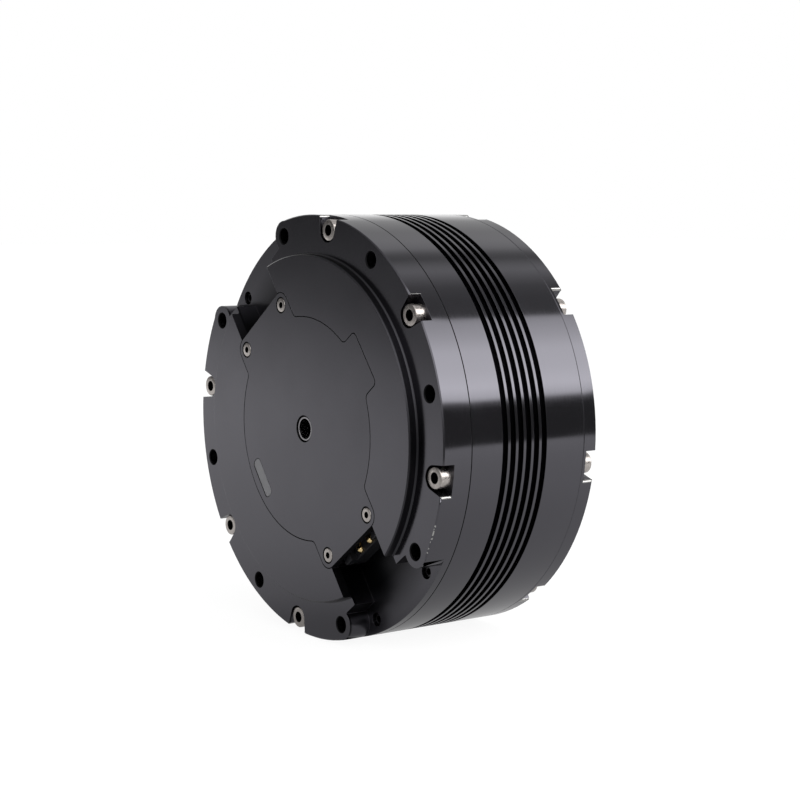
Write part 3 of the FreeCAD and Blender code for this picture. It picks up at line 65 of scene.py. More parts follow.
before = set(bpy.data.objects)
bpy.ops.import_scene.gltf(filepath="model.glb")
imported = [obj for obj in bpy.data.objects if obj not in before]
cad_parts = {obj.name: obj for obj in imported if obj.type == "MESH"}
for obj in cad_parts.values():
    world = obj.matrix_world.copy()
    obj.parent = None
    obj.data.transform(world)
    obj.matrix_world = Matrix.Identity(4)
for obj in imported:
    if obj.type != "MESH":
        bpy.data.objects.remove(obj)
CAD_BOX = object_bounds()

MM = 0.001
SAME = 0.002 * MM       # corners nearer than this are one corner
RIM = CAD_BOX[1].x      # radius of the casing
REAR = Vector((0, -1, 0))
FRONT = Vector((0, 1, 0))

NOISE, MATH, RANGE, BUMP = "ShaderNodeTexNoise", "ShaderNodeMath", "ShaderNodeMapRange", "ShaderNodeBump"


# --- colours and nodes ----------------------------------------------------------------------------

def channels_of(code):
    """The three channels of an sRGB hex colour, from 0 to 1."""
    return [int(code[i:i + 2], 16) / 255 for i in (1, 3, 5)]


def linear(code):
    """An sRGB hex colour as linear red, green, blue and alpha."""
    return [c / 12.92 if c <= 0.04045 else ((c + 0.055) / 1.055) ** 2.4 for c in channels_of(code)] + [1.0]


def connect(tree, item, inputs):
    """Set a node's inputs: each gets a value, another node's output, or the first output of a node."""
    for key, value in inputs.items():
        if isinstance(value, bpy.types.Node):
            value = value.outputs[0]
        if isinstance(value, bpy.types.NodeSocket):
            tree.links.new(value, item.inputs[key])
        else:
            item.inputs[key].default_value = value


def add(tree, kind, inputs=None, **settings):
    """Add a node with its settings and its inputs."""
    item = tree.nodes.new(kind)
    for name, value in settings.items():
        setattr(item, name, value)
    connect(tree, item, inputs or {})
    return item


def new_material(name, colour, metallic, roughness, **sockets):
    """A material whose uniform values sit on the shader itself, with its tree and shader."""
    material = bpy.data.materials.new(name)
    material.use_nodes = True
    tree = material.node_tree
    shader = tree.nodes["Principled BSDF"]
    values = {"Base Color": linear(colour), "Metallic": metallic, "Roughness": roughness}
    values.update({key.replace("_", " "): value for key, value in sockets.items()})
    connect(tree, shader, values)
    material.diffuse_color = linear(colour)
    return material, tree, shader


def place_in_mm(tree):
    """The place on a piece in millimetres, in the frame's own axes."""
    where = add(tree, "ShaderNodeTexCoord").outputs["Object"]
    return add(tree, "ShaderNodeVectorMath", {0: where, "Scale": 1 / MM}, operation="SCALE").outputs["Vector"]


def across(tree, first, second):
    """The length of two parts of a vector taken together."""
    flat = add(tree, "ShaderNodeCombineXYZ", {"X": first, "Y": second})
    return add(tree, "ShaderNodeVectorMath", {0: flat}, operation="LENGTH").outputs["Value"]


# --- finishes -------------------------------------------------------------------------------------

def turned_black(colour):
    """Black anodised aluminium off the lathe: the mirror stays crisp round the axis, with faint rings."""
    # the feed of the tool is finer than a rendered dot, so the rings are drawn 0.4 mm apart
    feed, smear = 0.4, 14.0     # millimetres
    material, tree, shader = new_material("black anodised aluminium, turned", colour, 1.0, 0.15)
    place = place_in_mm(tree)
    along = add(tree, "ShaderNodeSeparateXYZ", {"Vector": place}).outputs["Y"]
    rings = add(tree, NOISE, {"W": along, "Scale": 1 / feed, "Detail": 2.0}, noise_dimensions="1D")
    smears = add(tree, NOISE, {"Vector": place, "Scale": 1 / smear, "Detail": 3.0})
    both = add(tree, MATH, {0: rings, 1: smears}, operation="MULTIPLY")
    gloss = add(tree, RANGE, {"Value": both, "From Min": 0.1, "From Max": 0.5, "To Min": 0.07, "To Max": 0.15})
    relief = add(tree, BUMP, {"Height": rings, "Distance": 0.001 * MM, "Strength": 0.08})
    connect(tree, shader, {"Roughness": gloss, "Normal": relief})
    return material


def rubbed_rim(tree, shader, place, colour, bare):
    """Along a stretch of the rear rim the dye is knocked off in specks of bare metal."""
    middle, half_length, width, behind, speck = -22.0, 3.6, 0.3, 1.0, 1.2      # millimetres
    parts = add(tree, "ShaderNodeSeparateXYZ", {"Vector": place}).outputs
    from_middle = add(tree, MATH, {0: parts["Z"], 1: middle}, operation="SUBTRACT")
    specks = add(tree, NOISE, {"Vector": place, "Scale": 1 / speck, "Detail": 4.0})
    limits = ((across(tree, parts["X"], parts["Z"]), "GREATER_THAN", RIM / MM - width),
              (add(tree, MATH, {0: from_middle}, operation="ABSOLUTE"), "LESS_THAN", half_length),
              (parts["X"], "GREATER_THAN", 0.0), (parts["Y"], "LESS_THAN", behind),
              (specks, "GREATER_THAN", 0.5))
    mask = 1.0
    for value, test, limit in limits:
        held = add(tree, MATH, {0: value, 1: limit}, operation=test)
        mask = add(tree, MATH, {0: mask, 1: held}, operation="MULTIPLY")
    tone = add(tree, "ShaderNodeMix", {"Factor": mask, 6: linear(colour), 7: linear(bare)}, data_type="RGBA")
    connect(tree, shader, {"Base Color": tone.outputs[2]})


def faced_black(name, colour, roughness):
    """Black anodised aluminium with a milled or faced surface: a satin sheen with a fine even grain."""
    patch, tooth, swing = 16.0, 0.3, 0.04      # millimetres, and how far the roughness strays
    material, tree, shader = new_material(name, colour, 1.0, roughness)
    place = place_in_mm(tree)
    cloud = add(tree, NOISE, {"Vector": place, "Scale": 1 / patch, "Detail": 3.0})
    grain = add(tree, NOISE, {"Vector": place, "Scale": 1 / tooth, "Detail": 2.0})
    mixed = add(tree, "ShaderNodeMix", {"Factor": 0.4, 2: cloud, 3: grain})
    gloss = add(tree, RANGE, {"Value": mixed, "From Min": 0.3, "From Max": 0.7,
                              "To Min": roughness - swing, "To Max": roughness + swing})
    relief = add(tree, BUMP, {"Height": grain, "Distance": 0.001 * MM, "Strength": 0.1})
    connect(tree, shader, {"Roughness": gloss, "Normal": relief})
    return material


def pocketed_black_painted_shade(colour, dark):
    """Black anodised aluminium in pockets: the cutter leaves it dull. Its colour is painted shade, dark deep in
    a pocket where light can't reach.

    A pocket opens through the rim, so the painted shade lightens towards it. One in the upper half is painted
    lighter, as painted light for the more light it sees.
    """
    dark_to, light_from, painted_light_upper_gain = 43.0, 53.0, 2.5       # millimetres from the axis, for the painted shade and for the painted light on an upper pocket
    tooth, disc_share, pocket_share = 0.4, 0.4, 0.05        # millimetres, and least shares of the full colour under the painted shade
    material, tree, shader = new_material("black anodised aluminium, pocketed, painted shade", colour, 1.0, 0.3)
    place = place_in_mm(tree)
    parts = add(tree, "ShaderNodeSeparateXYZ", {"Vector": place}).outputs
    upper = add(tree, MATH, {0: parts["Z"], 1: 0.0}, operation="GREATER_THAN")
    reach = add(tree, MATH, {0: upper, 1: painted_light_upper_gain, 2: across(tree, parts["X"], parts["Z"])},
                operation="MULTIPLY_ADD")
    by_rim = add(tree, RANGE, {"Value": reach, "From Min": dark_to, "From Max": light_from})
    below_face = add(tree, RANGE, {"Value": parts["Y"], "From Min": 0.3, "From Max": 0.8})
    open_end = add(tree, MATH, {0: by_rim, 1: below_face}, operation="MULTIPLY")
    least = add(tree, RANGE, {"Value": parts["Y"], "From Min": -0.2, "From Max": 0.2,
                              "To Min": disc_share, "To Max": pocket_share})
    light = add(tree, MATH, {0: open_end, 1: least}, operation="MAXIMUM")
    # painted shade: the colour runs from the dark pocket shade up to the full black
    tone = add(tree, "ShaderNodeMix", {"Factor": light, 6: linear(dark), 7: linear(colour)}, data_type="RGBA")
    grain = add(tree, NOISE, {"Vector": place, "Scale": 1 / tooth, "Detail": 3.0})
    relief = add(tree, BUMP, {"Height": grain, "Distance": 0.002 * MM, "Strength": 0.2})
    connect(tree, shader, {"Base Color": tone.outputs[2], "Normal": relief})
    return material


def grained(tree, shader, grain_mm, roughness, swing, depth_mm, strength):
    """Vary a shader's roughness and raise its surface by one noise of the given grain."""
    grain = add(tree, NOISE, {"Vector": place_in_mm(tree), "Scale": 1 / grain_mm, "Detail": 3.0})
    gloss = add(tree, RANGE, {"Value": grain, "From Min": 0.3, "From Max": 0.7,
                              "To Min": roughness * (1 - swing), "To Max": roughness * (1 + swing)})
    relief = add(tree, BUMP, {"Height": grain, "Distance": depth_mm * MM, "Strength": strength})
    connect(tree, shader, {"Roughness": gloss, "Normal": relief})


def metal(name, colour, roughness, grain_mm):
    """A plain metal that is ground, drawn, plated or sintered, with a grain of the given size."""
    material, tree, shader = new_material(name, colour, 1.0, roughness)
    grained(tree, shader, grain_mm, roughness, 0.35, 0.004 * grain_mm, 0.3)
    return material


def moulded(name, colour, roughness, grain_mm, **sockets):
    """A moulded plastic, rubber or board, with a skin of the given grain."""
    material, tree, shader = new_material(name, colour, 0.0, roughness, IOR=1.5, **sockets)
    grained(tree, shader, grain_mm, roughness, 0.2, 0.02 * grain_mm, 0.4)
    return material


def laminated(colour, sheet_mm):
    """Stacked electrical steel seen edge on: thin varnished sheets."""
    material, tree, shader = new_material("electrical steel, laminated and varnished", colour, 1.0, 0.42)
    along = add(tree, "ShaderNodeSeparateXYZ", {"Vector": place_in_mm(tree)}).outputs["Y"]
    sheets = add(tree, MATH, {0: along, 1: sheet_mm}, operation="PINGPONG")
    relief = add(tree, BUMP, {"Height": sheets, "Distance": 0.02 * MM, "Strength": 0.6})
    connect(tree, shader, {"Normal": relief})
    return material


# --- meshes ---------------------------------------------------------------------------------------

def new_object(name, mesh):
    """A new object in the scene."""
    thing = bpy.data.objects.new(name, mesh)
    bpy.context.scene.collection.objects.link(thing)
    return thing


def bake(thing):
    """Turn an object's modifiers into its plain mesh."""
    graph = bpy.context.evaluated_depsgraph_get()
    mesh = bpy.data.meshes.new_from_object(thing.evaluated_get(graph))
    thing.modifiers.clear()
    thing.data = mesh
    return thing


def merged(node):
    """A frame node's triangles as one joined mesh in memory."""
    work = bmesh.new()
    work.from_mesh(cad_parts[node].data)
    bmesh.ops.remove_doubles(work, verts=work.verts, dist=SAME)
    return work


def declare(thing, body, node):
    """Say which body a piece moves with by attaching it there, and hide the frame node it stands for."""
    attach(thing, body)
    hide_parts(node)
    return thing


def dressed(node, materials, edge, body="housing", wide_edge=0.0, is_wide=None):
    """A frame node with its flat faces joined and its edges broken by `edge`.

    Edges that pass the test is_wide are broken by wide_edge instead.
    """
    flat_to, edge_from = math.radians(0.5), math.radians(28)     # turns of the surface
    flat_end = 0.999        # least lean towards the axis of a flat end face
    work = merged(node)
    bmesh.ops.dissolve_limit(work, angle_limit=flat_to, verts=work.verts, edges=work.edges)
    weights = work.edges.layers.float.new("bevel_weight_edge")
    widest = max(edge, wide_edge)
    for line in work.edges:
        if len(line.link_faces) == 2 and line.calc_face_angle() > edge_from:
            wide = is_wide is not None and is_wide(line)
            line[weights] = (wide_edge if wide else edge) / widest
    mesh = bpy.data.meshes.new(node + "_dressed")
    work.to_mesh(mesh)
    work.free()
    for material in materials:
        mesh.materials.append(material)
    mesh.shade_smooth()
    for face in mesh.polygons:
        face.use_smooth = abs(face.normal.y) < flat_end
    thing = new_object(node + "_dressed", mesh)
    breaker = thing.modifiers.new("broken edges", "BEVEL")
    breaker.limit_method = "WEIGHT"
    breaker.width = widest
    breaker.segments = 3
    breaker.use_clamp_overlap = False
    shading = thing.modifiers.new("flat faces stay flat", "WEIGHTED_NORMAL")
    shading.weight = 50
    shading.keep_sharp = True
    return declare(bake(thing), body, node)


def repaint(node, material):
    """Give a frame node its finish and leave its mesh alone."""
    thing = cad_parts[node]
    thing.data.materials.clear()
    thing.data.materials.append(material)


def solids_of(node):
    """The lowest and highest corner of each separate solid of a frame node."""
    work = merged(node)
    waiting = set(work.verts)
    boxes = []
    while waiting:
        group = [waiting.pop()]
        low, high = group[0].co.copy(), group[0].co.copy()
        while group:
            vert = group.pop()
            low = Vector(map(min, low, vert.co))
            high = Vector(map(max, high, vert.co))
            for line in vert.link_edges:
                other = line.other_vert(vert)
                if other in waiting:
                    waiting.remove(other)
                    group.append(other)
        boxes.append((low, high))
    work.free()
    return boxes


# --- geometry nodes -------------------------------------------------------------------------------

def new_tree(name, *labels):
    """A geometry tree with an input for its points, lengths by name, a seed and a material."""
    tree = bpy.data.node_groups.new(name, "GeometryNodeTree")
    tree.interface.new_socket("Geometry", in_out="OUTPUT", socket_type="NodeSocketGeometry")
    tree.interface.new_socket("Points", in_out="INPUT", socket_type="NodeSocketGeometry")
    for label in labels:
        tree.interface.new_socket(label, in_out="INPUT", socket_type="NodeSocketFloat")
    tree.interface.new_socket("Seed", in_out="INPUT", socket_type="NodeSocketInt")
    tree.interface.new_socket("Material", in_out="INPUT", socket_type="NodeSocketMaterial")
    return tree, tree.nodes.new("NodeGroupInput").outputs


def grow(tree, geometry, top, height, scale):
    """Push the top face out by a height and scale it; returns the geometry and the new top."""
    pushed = add(tree, "GeometryNodeExtrudeMesh", {"Mesh": geometry, "Selection": top, "Offset Scale": height,
                                                   "Individual": False})
    sized = add(tree, "GeometryNodeScaleElements", {"Geometry": pushed.outputs["Mesh"],
                                                    "Selection": pushed.outputs["Top"], "Scale": scale})
    return sized.outputs["Geometry"], pushed.outputs["Top"]


def moved_by(tree, geometry, height):
    """The geometry moved along its own Z."""
    offset = add(tree, "ShaderNodeCombineXYZ", {"Z": height}).outputs["Vector"]
    return add(tree, "GeometryNodeTransform", {"Geometry": geometry, "Translation": offset}).outputs["Geometry"]


def place_copies(tree, given, piece):
    """Set copies on the points, each turned to face along `out` and spun by its own angle."""
    facing = add(tree, "GeometryNodeInputNamedAttribute", {"Name": "out"}, data_type="FLOAT_VECTOR")
    turn = add(tree, "FunctionNodeAlignRotationToVector", {"Vector": facing.outputs["Attribute"]}, axis="Z")
    copies = add(tree, "GeometryNodeInstanceOnPoints", {"Points": given["Points"], "Instance": piece,
                                                        "Rotation": turn.outputs["Rotation"]})
    # the second and third float sockets of the random node are its least and greatest value
    angle = add(tree, "FunctionNodeRandomValue", {"Seed": given["Seed"], 3: math.tau}, data_type="FLOAT")
    about = add(tree, "ShaderNodeCombineXYZ", {"Z": angle.outputs[1]})
    spun = add(tree, "GeometryNodeRotateInstances", {"Instances": copies.outputs["Instances"],
                                                     "Rotation": about.outputs["Vector"], "Local Space": True})
    real = add(tree, "GeometryNodeRealizeInstances", {"Geometry": spun.outputs["Instances"]})
    painted = add(tree, "GeometryNodeSetMaterial", {"Geometry": real.outputs["Geometry"],
                                                    "Material": given["Material"]})
    add(tree, "NodeGroupOutput", {"Geometry": painted.outputs["Geometry"]})


def socket_screw_tree():
    """Socket screws: a shank, a head with a rounded edge, and a hexagon socket with a chamfered mouth.

    Each screw points along its own Z, with the top of its head at the point.
    """
    tree, given = new_tree("socket screws", "Head Diameter", "Head Height", "Edge", "Thread Diameter", "Reach",
                           "Socket Width", "Socket Depth", "Socket Chamfer")
    head = add(tree, MATH, {0: given["Head Diameter"], 1: 0.5}, operation="MULTIPLY")
    thread = add(tree, MATH, {0: given["Thread Diameter"], 1: 0.5}, operation="MULTIPLY")
    shank = add(tree, "GeometryNodeMeshCylinder", {"Vertices": 48, "Radius": thread, "Depth": given["Reach"]})
    middle = add(tree, MATH, {0: given["Reach"], 1: -0.5}, operation="MULTIPLY")
    drop = add(tree, MATH, {0: middle, 1: given["Head Height"]}, operation="SUBTRACT")
    shape, top = moved_by(tree, shank.outputs["Mesh"], drop), shank.outputs["Top"]
    shape, top = grow(tree, shape, top, 0.0, add(tree, MATH, {0: head, 1: thread}, operation="DIVIDE"))
    straight = add(tree, MATH, {0: given["Head Height"], 1: given["Edge"]}, operation="SUBTRACT")
    shape, top = grow(tree, shape, top, straight, 1.0)
    # a quarter round in three steps: the share of the edge that each step rises and draws in
    width = head
    for rise, draw in ((0.5, 0.134), (0.366, 0.366), (0.134, 0.5)):
        step = add(tree, MATH, {0: given["Edge"], 1: rise}, operation="MULTIPLY")
        narrower = add(tree, MATH, {0: given["Edge"], 1: -draw, 2: width}, operation="MULTIPLY_ADD")
        share = add(tree, MATH, {0: narrower, 1: width}, operation="DIVIDE")
        shape, top = grow(tree, shape, top, step, share)
        width = narrower
    # the cutters of the socket are twice as deep as what they take away, so that they stand proud of the head
    corner = add(tree, MATH, {0: given["Socket Width"], 1: math.sqrt(3)}, operation="DIVIDE")
    depth = add(tree, MATH, {0: given["Socket Depth"], 1: 2.0}, operation="MULTIPLY")
    hexagon = add(tree, "GeometryNodeMeshCylinder", {"Vertices": 6, "Radius": corner, "Depth": depth})
    chamfer = given["Socket Chamfer"]
    wide = add(tree, MATH, {0: corner, 1: chamfer}, operation="ADD")
    narrow = add(tree, MATH, {0: corner, 1: chamfer}, operation="SUBTRACT")
    height = add(tree, MATH, {0: chamfer, 1: 2.0}, operation="MULTIPLY")
    mouth = add(tree, "GeometryNodeMeshCone", {"Vertices": 48, "Radius Top": wide, "Radius Bottom": narrow,
                                               "Depth": height})
    # a cone stands on the origin, so it is lowered by half its height
    below = add(tree, MATH, {0: chamfer, 1: -1.0}, operation="MULTIPLY")
    lowered = moved_by(tree, mouth.outputs["Mesh"], below)
    bored = add(tree, "GeometryNodeMeshBoolean", {"Mesh 1": shape, "Mesh 2": hexagon.outputs["Mesh"]},
                operation="DIFFERENCE", solver="EXACT")
    tree.links.new(lowered, bored.inputs["Mesh 2"])
    place_copies(tree, given, bored.outputs["Mesh"])
    return tree


def contact_tree():
    """Round contacts with a domed tip at the point, pointing along their own Z."""
    tree, given = new_tree("domed contacts", "Diameter", "Length")
    radius = add(tree, MATH, {0: given["Diameter"], 1: 0.5}, operation="MULTIPLY")
    straight = add(tree, MATH, {0: given["Length"], 1: radius}, operation="SUBTRACT")
    barrel = add(tree, "GeometryNodeMeshCylinder", {"Vertices": 32, "Radius": radius, "Depth": straight})
    middle = add(tree, MATH, {0: straight, 1: -0.5}, operation="MULTIPLY")
    back = add(tree, MATH, {0: middle, 1: radius}, operation="SUBTRACT")
    shape, top = moved_by(tree, barrel.outputs["Mesh"], back), barrel.outputs["Top"]
    steps, tip = 6, 0.04        # bands of the dome, and what is left flat of its radius
    for step in range(steps):
        here, there = (math.pi / 2 * (step + i) / steps for i in (0, 1))
        rise = add(tree, MATH, {0: radius, 1: math.sin(there) - math.sin(here)}, operation="MULTIPLY")
        shape, top = grow(tree, shape, top, rise, max(math.cos(there), tip) / math.cos(here))
    place_copies(tree, given, shape)
    return tree


def copies_on(name, tree, places, facings, material, inputs):
    """Run a tree on a set of points and keep its result as a plain mesh."""
    seed, sharp_from = 3, math.radians(32)
    mesh = bpy.data.meshes.new(name)
    mesh.from_pydata(places, [], [])
    out = mesh.attributes.new("out", "FLOAT_VECTOR", "POINT")
    for i, facing in enumerate(facings):
        out.data[i].vector = facing
    thing = new_object(name, mesh)
    modifier = thing.modifiers.new(name, "NODES")
    modifier.node_group = tree
    sockets = {item.name: item.identifier for item in tree.interface.items_tree if item.in_out == "INPUT"}
    for label, value in inputs.items():
        modifier[sockets[label]] = value
    modifier[sockets["Seed"]] = seed
    modifier[sockets["Material"]] = material
    bake(thing)
    thing.data.shade_smooth()
    thing.data.set_sharp_from_angle(angle=sharp_from)
    return thing


def broached():
    """Steel inside a broached socket: it is rough, and its near black colour is painted shade for the depth of
    the socket.
    """
    return bpy.data.materials.get("steel, socket, painted shade") or metal("steel, socket, painted shade", "#0c0b0b", 0.6, 0.3)


def screws_for(node, facing, material, sizes, body="housing"):
    """Dress a node of screws that are all alike.

    Each takes its place from its own solid, and all take their diameter and length from the last solid found.
    """
    tree = bpy.data.node_groups.get("socket screws") or socket_screw_tree()
    places = []
    for low, high in solids_of(node):
        middle = (low + high) / 2
        middle.y = low.y if facing.y < 0 else high.y
        places.append(middle)
    inputs = {"Head Diameter": high.x - low.x - 2 * sizes.play, "Head Height": sizes.head,
              "Edge": sizes.edge, "Thread Diameter": sizes.thread, "Reach": high.y - low.y - sizes.head,
              "Socket Width": sizes.socket, "Socket Depth": sizes.depth, "Socket Chamfer": sizes.mouth}
    thing = copies_on(node + "_dressed", tree, places, [facing] * len(places), material, inputs)
    thing.data.materials.clear()
    # the second material is painted shade for the inside of each socket
    for finish in (material, broached()):
        thing.data.materials.append(finish)
    hair = 0.01 * MM
    for face in thing.data.polygons:
        place = min(places, key=lambda spot: (spot - face.center).length_squared)
        sunk = (place - face.center).dot(facing)
        out = math.hypot(place.x - face.center.x, place.z - face.center.z)
        in_socket = hair < sunk < sizes.depth + hair and out < sizes.socket / math.sqrt(3)
        face.material_index = 1 if in_socket else 0
    return declare(thing, body, node)


# --- settings -------------------------------------------------------------------------------------

def millimetres(name, description, default):
    """A length, whose default is given in millimetres."""
    return FloatProperty(name=name, description=description, default=default * MM, min=0.0, unit="LENGTH",
                         precision=5)


def tint(name, description, default):
    """A colour, whose default is given as a hex code."""
    return FloatVectorProperty(name=name, description=description, subtype="COLOR_GAMMA", size=3, min=0.0,
                               max=1.0, default=channels_of(default))


def code_of(colour):
    """A colour property as its hex code."""
    return "#" + "".join(f"{round(channel * 255):02x}" for channel in colour)


class ActuatorScrew(bpy.types.PropertyGroup):
    """Sizes of one kind of socket screw"""

    head: millimetres("Head height", "Height of the head", 3.0)
    edge: millimetres("Edge", "Rounded edge of the head", 0.3)
    thread: millimetres("Thread", "Diameter of the shank", 3.0)
    socket: millimetres("Socket", "Hexagon socket across flats", 2.5)
    depth: millimetres("Socket depth", "Depth of the hexagon socket", 1.6)
    mouth: millimetres("Socket mouth", "Chamfer at the mouth of the socket", 0.12)
    play: millimetres("Play", "How much smaller the head is than its place in the frame, on each side", 0.0)


class ActuatorFinish(bpy.types.PropertyGroup):
    """Colours and edges of the object"""

    black: tint("Black anodising", "Colour of the dyed aluminium", "#57565b")
    steel: tint("Stainless steel", "Colour of the screws", "#b4aeaa")
    gold: tint("Gold plating", "Colour of the contacts", "#f3d7a0")
    nylon: tint("Black nylon", "Colour of the connector bodies", "#17171a")
    window: tint("Smoked window", "Colour of the status window", "#6d6d70")
    bare: tint("Bare aluminium", "Colour of chamfers and knocks in the dye", "#b0afad")
    # painted shade: the colour deep in a pocket, where light can't reach, not a colour of the dye
    pocket_shade: tint("Pockets", "Colour of the dyed aluminium deep in a pocket", "#1b1b1d")
    edge: millimetres("Broken edge", "Width of the broken edges of the casing", 0.05)
    lip: millimetres("Seat lip", "Rounding where a screw seat opens through the rim", 0.5)
    # the width of the painted shade round the cover
    seam: millimetres("Cover seam", "Width of the dark edge round the cover", 0.13)
    widening: FloatProperty(name="Window widening", default=1.55, min=1.0, max=2.5,
                            description="Width of the window over its width in the frame")


class ActuatorStudio(bpy.types.PropertyGroup):
    """Camera and light"""

    lens: FloatProperty(name="Lens", description="Focal length", default=81.92, min=10.0, unit="CAMERA")
    place: FloatVectorProperty(name="Camera", description="Place of the camera", subtype="TRANSLATION",
                               unit="LENGTH", default=(0.38727, -0.26298, 0.05450))
    level: FloatProperty(name="Level", description="Strength of the soft boxes", default=1.0, min=0.0)


# --- pieces ---------------------------------------------------------------------------------------

def black(context, name, roughness):
    """Faced black anodising in the chosen colour."""
    return faced_black(name, code_of(context.scene.actuator_finish.black), roughness)


def seal():
    """A black for painted shade in the seams and the mouths of tapped holes: it shows as if it took all the
    light that gets into them.
    """
    return bpy.data.materials.get("black painted shade for seams and hole mouths") or moulded(
        "black painted shade for seams and hole mouths", "#08080a", 0.6, 0.2, Specular_IOR_Level=0.1)


# the casing's materials, in the order of its slots; POCKETED has painted shade deep in the pockets, and SHADED
# is a black painted shade for seams and the mouths of tapped holes
TURNED, FACED, POCKETED, BARE, SHADED = range(5)
# stretches along the axis: the wall of the raised disc, the rear shell's pockets, and where a seam is shaded
DISC_WALL = (-2.42 * MM, -0.02 * MM)
POCKETS = (3 * MM, 14 * MM)
SEAMS = (2.5 * MM, 44 * MM)
# lengths in from the rim: turned faces, chamfers at the seams, and the middles of the tapped holes
TURNED_DEPTH = 0.7 * MM
SEAM_DEPTH = 0.3 * MM
HOLE_DEPTH = 4.0 * MM
HOLE_MOUTH = 2.2 * MM       # radius in the middle of a tapped hole's chamfer
SEAT_REACH = 7.0 * MM       # how far from its screw an edge of a screw seat may lie


class ACTUATOR_OT_casing(bpy.types.Operator):
    """Rear, middle and front shells, with turned sides, faced ends and rounded seat lips"""

    bl_idname = "actuator.casing"
    bl_label = "Casing"

    def execute(self, context):
        finish = context.scene.actuator_finish
        turned = turned_black(code_of(finish.black))
        faced = black(context, "black anodised aluminium, faced", 0.17)
        rubbed_rim(faced.node_tree, faced.node_tree.nodes["Principled BSDF"], place_in_mm(faced.node_tree),
                   code_of(finish.black), code_of(finish.bare))
        # cut through the dye: bare and bright
        chamfer = metal("aluminium, chamfered after anodising", code_of(finish.bare), 0.3, 0.4)
        # pocket faces, with painted shade deep inside and painted light in the upper half
        pocketed_painted_shade = pocketed_black_painted_shade(code_of(finish.black), code_of(finish.pocket_shade))
        seats = [(low + high) / 2 for node in ("rear_housing_screws", "front_housing_screws")
                 for low, high in solids_of(node)]

        def by_seat(spot):
            """True on the side of a screw seat that lies further from the level of the axis."""
            near = min(seats, key=lambda seat: math.hypot(seat.x - spot.x, seat.z - spot.z))
            return math.hypot(near.x - spot.x, near.z - spot.z) < SEAT_REACH and abs(spot.z) > abs(near.z)

        def is_lip(line):
            """An edge along the axis where a seat opens through the rim."""
            way = line.verts[0].co - line.verts[1].co
            on_rim = all(math.hypot(vert.co.x, vert.co.z) > RIM - 0.1 * MM for vert in line.verts)
            return (on_rim and abs(way.y) > 0.9 * way.length and way.length > 2 * MM
                    and by_seat(line.verts[0].co))

        def finish_of(face, ends):
            """The number of a face's material; ends are where its shell meets the next."""
            spot, normal = face.center, face.normal
            reach = math.hypot(spot.x, spot.z)
            outward = (normal.x * spot.x + normal.z * spot.z) / reach
            lean = abs(normal.y)        # from 0 along the axis to 1 across it
            # a face in the mouth of a tapped hole looks at the hole's middle
            hole = spot + Vector((normal.x, 0, normal.z)).normalized() * HOLE_MOUTH
            off_circle = abs(math.hypot(hole.x, hole.z) - (RIM - HOLE_DEPTH))
            # painted shade: the chamfer at a tapped hole's mouth is made black
            if 0.2 < lean < 0.97 and abs(spot.y) < 0.35 * MM and off_circle < 0.2 * MM:
                return SHADED
            if (reach > RIM - finish.lip and 0.3 < outward < 0.97 and lean < 0.1
                    and face.area > 0.1 * MM * MM and by_seat(spot)):
                return BARE
            # painted shade: the chamfers where one shell meets the next are made black
            if (reach > RIM - SEAM_DEPTH and 0.1 < lean < 0.97
                    and any(abs(spot.y - end) < SEAM_DEPTH for end in ends)):
                return SHADED
            # a face in a pocket or off the rim takes the pocket material with its painted shade
            in_pockets = POCKETS[0] < spot.y < POCKETS[1]
            in_wall = in_pockets or DISC_WALL[0] < spot.y < DISC_WALL[1]
            if lean > (0.97 if in_wall else 0.6):
                return POCKETED if in_pockets else FACED
            return TURNED if reach > RIM - TURNED_DEPTH else POCKETED

        for node in ("rear_housing", "middle_housing", "front_housing"):
            shell = dressed(node, [turned, faced, pocketed_painted_shade, chamfer, seal()], finish.edge,
                            wide_edge=finish.lip, is_wide=is_lip)
            ends = [corner[1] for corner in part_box(node) if SEAMS[0] < corner[1] < SEAMS[1]]
            for face in shell.data.polygons:
                face.material_index = finish_of(face, ends)
        return {"FINISHED"}


class ACTUATOR_OT_cover(bpy.types.Operator):
    """Cover plate and status window"""

    bl_idname = "actuator.cover"
    bl_label = "Cover"

    def execute(self, context):
        finish = context.scene.actuator_finish
        # blasted before anodising: softer than the faced ends
        blasted = black(context, "black anodised aluminium, blasted", 0.22)
        cover = dressed("cover_plate", [blasted, seal()], finish.seam)
        # painted shade: the cover's sides and broken edges are made black, a dark seam round it
        for face in cover.data.polygons:
            face.material_index = 1 if abs(face.normal.y) < 0.98 else 0
        # frosted: an even grey with a soft sheen
        window = moulded("smoked acrylic, frosted", code_of(finish.window), 0.35, 0.5)
        glass = dressed("status_window", [window], 0.04 * MM)
        low, high = (Vector(corner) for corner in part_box("status_window"))
        self.widen((cover, glass), (low + high) / 2, finish.widening)
        return {"FINISHED"}

    def widen(self, things, middle, times):
        """Widen the window and its slot, which both lie along the tangent at the window's middle."""
        half_width, half_length = 1.4 * MM, 8 * MM      # room that holds the slot and nothing else
        inward = Vector((middle.x, 0, middle.z)).normalized()
        along = inward.cross(REAR)
        for thing in things:
            for vert in thing.data.vertices:
                offset = vert.co - middle
                if abs(offset.dot(inward)) < half_width and abs(offset.dot(along)) < half_length:
                    vert.co += inward * offset.dot(inward) * (times - 1)


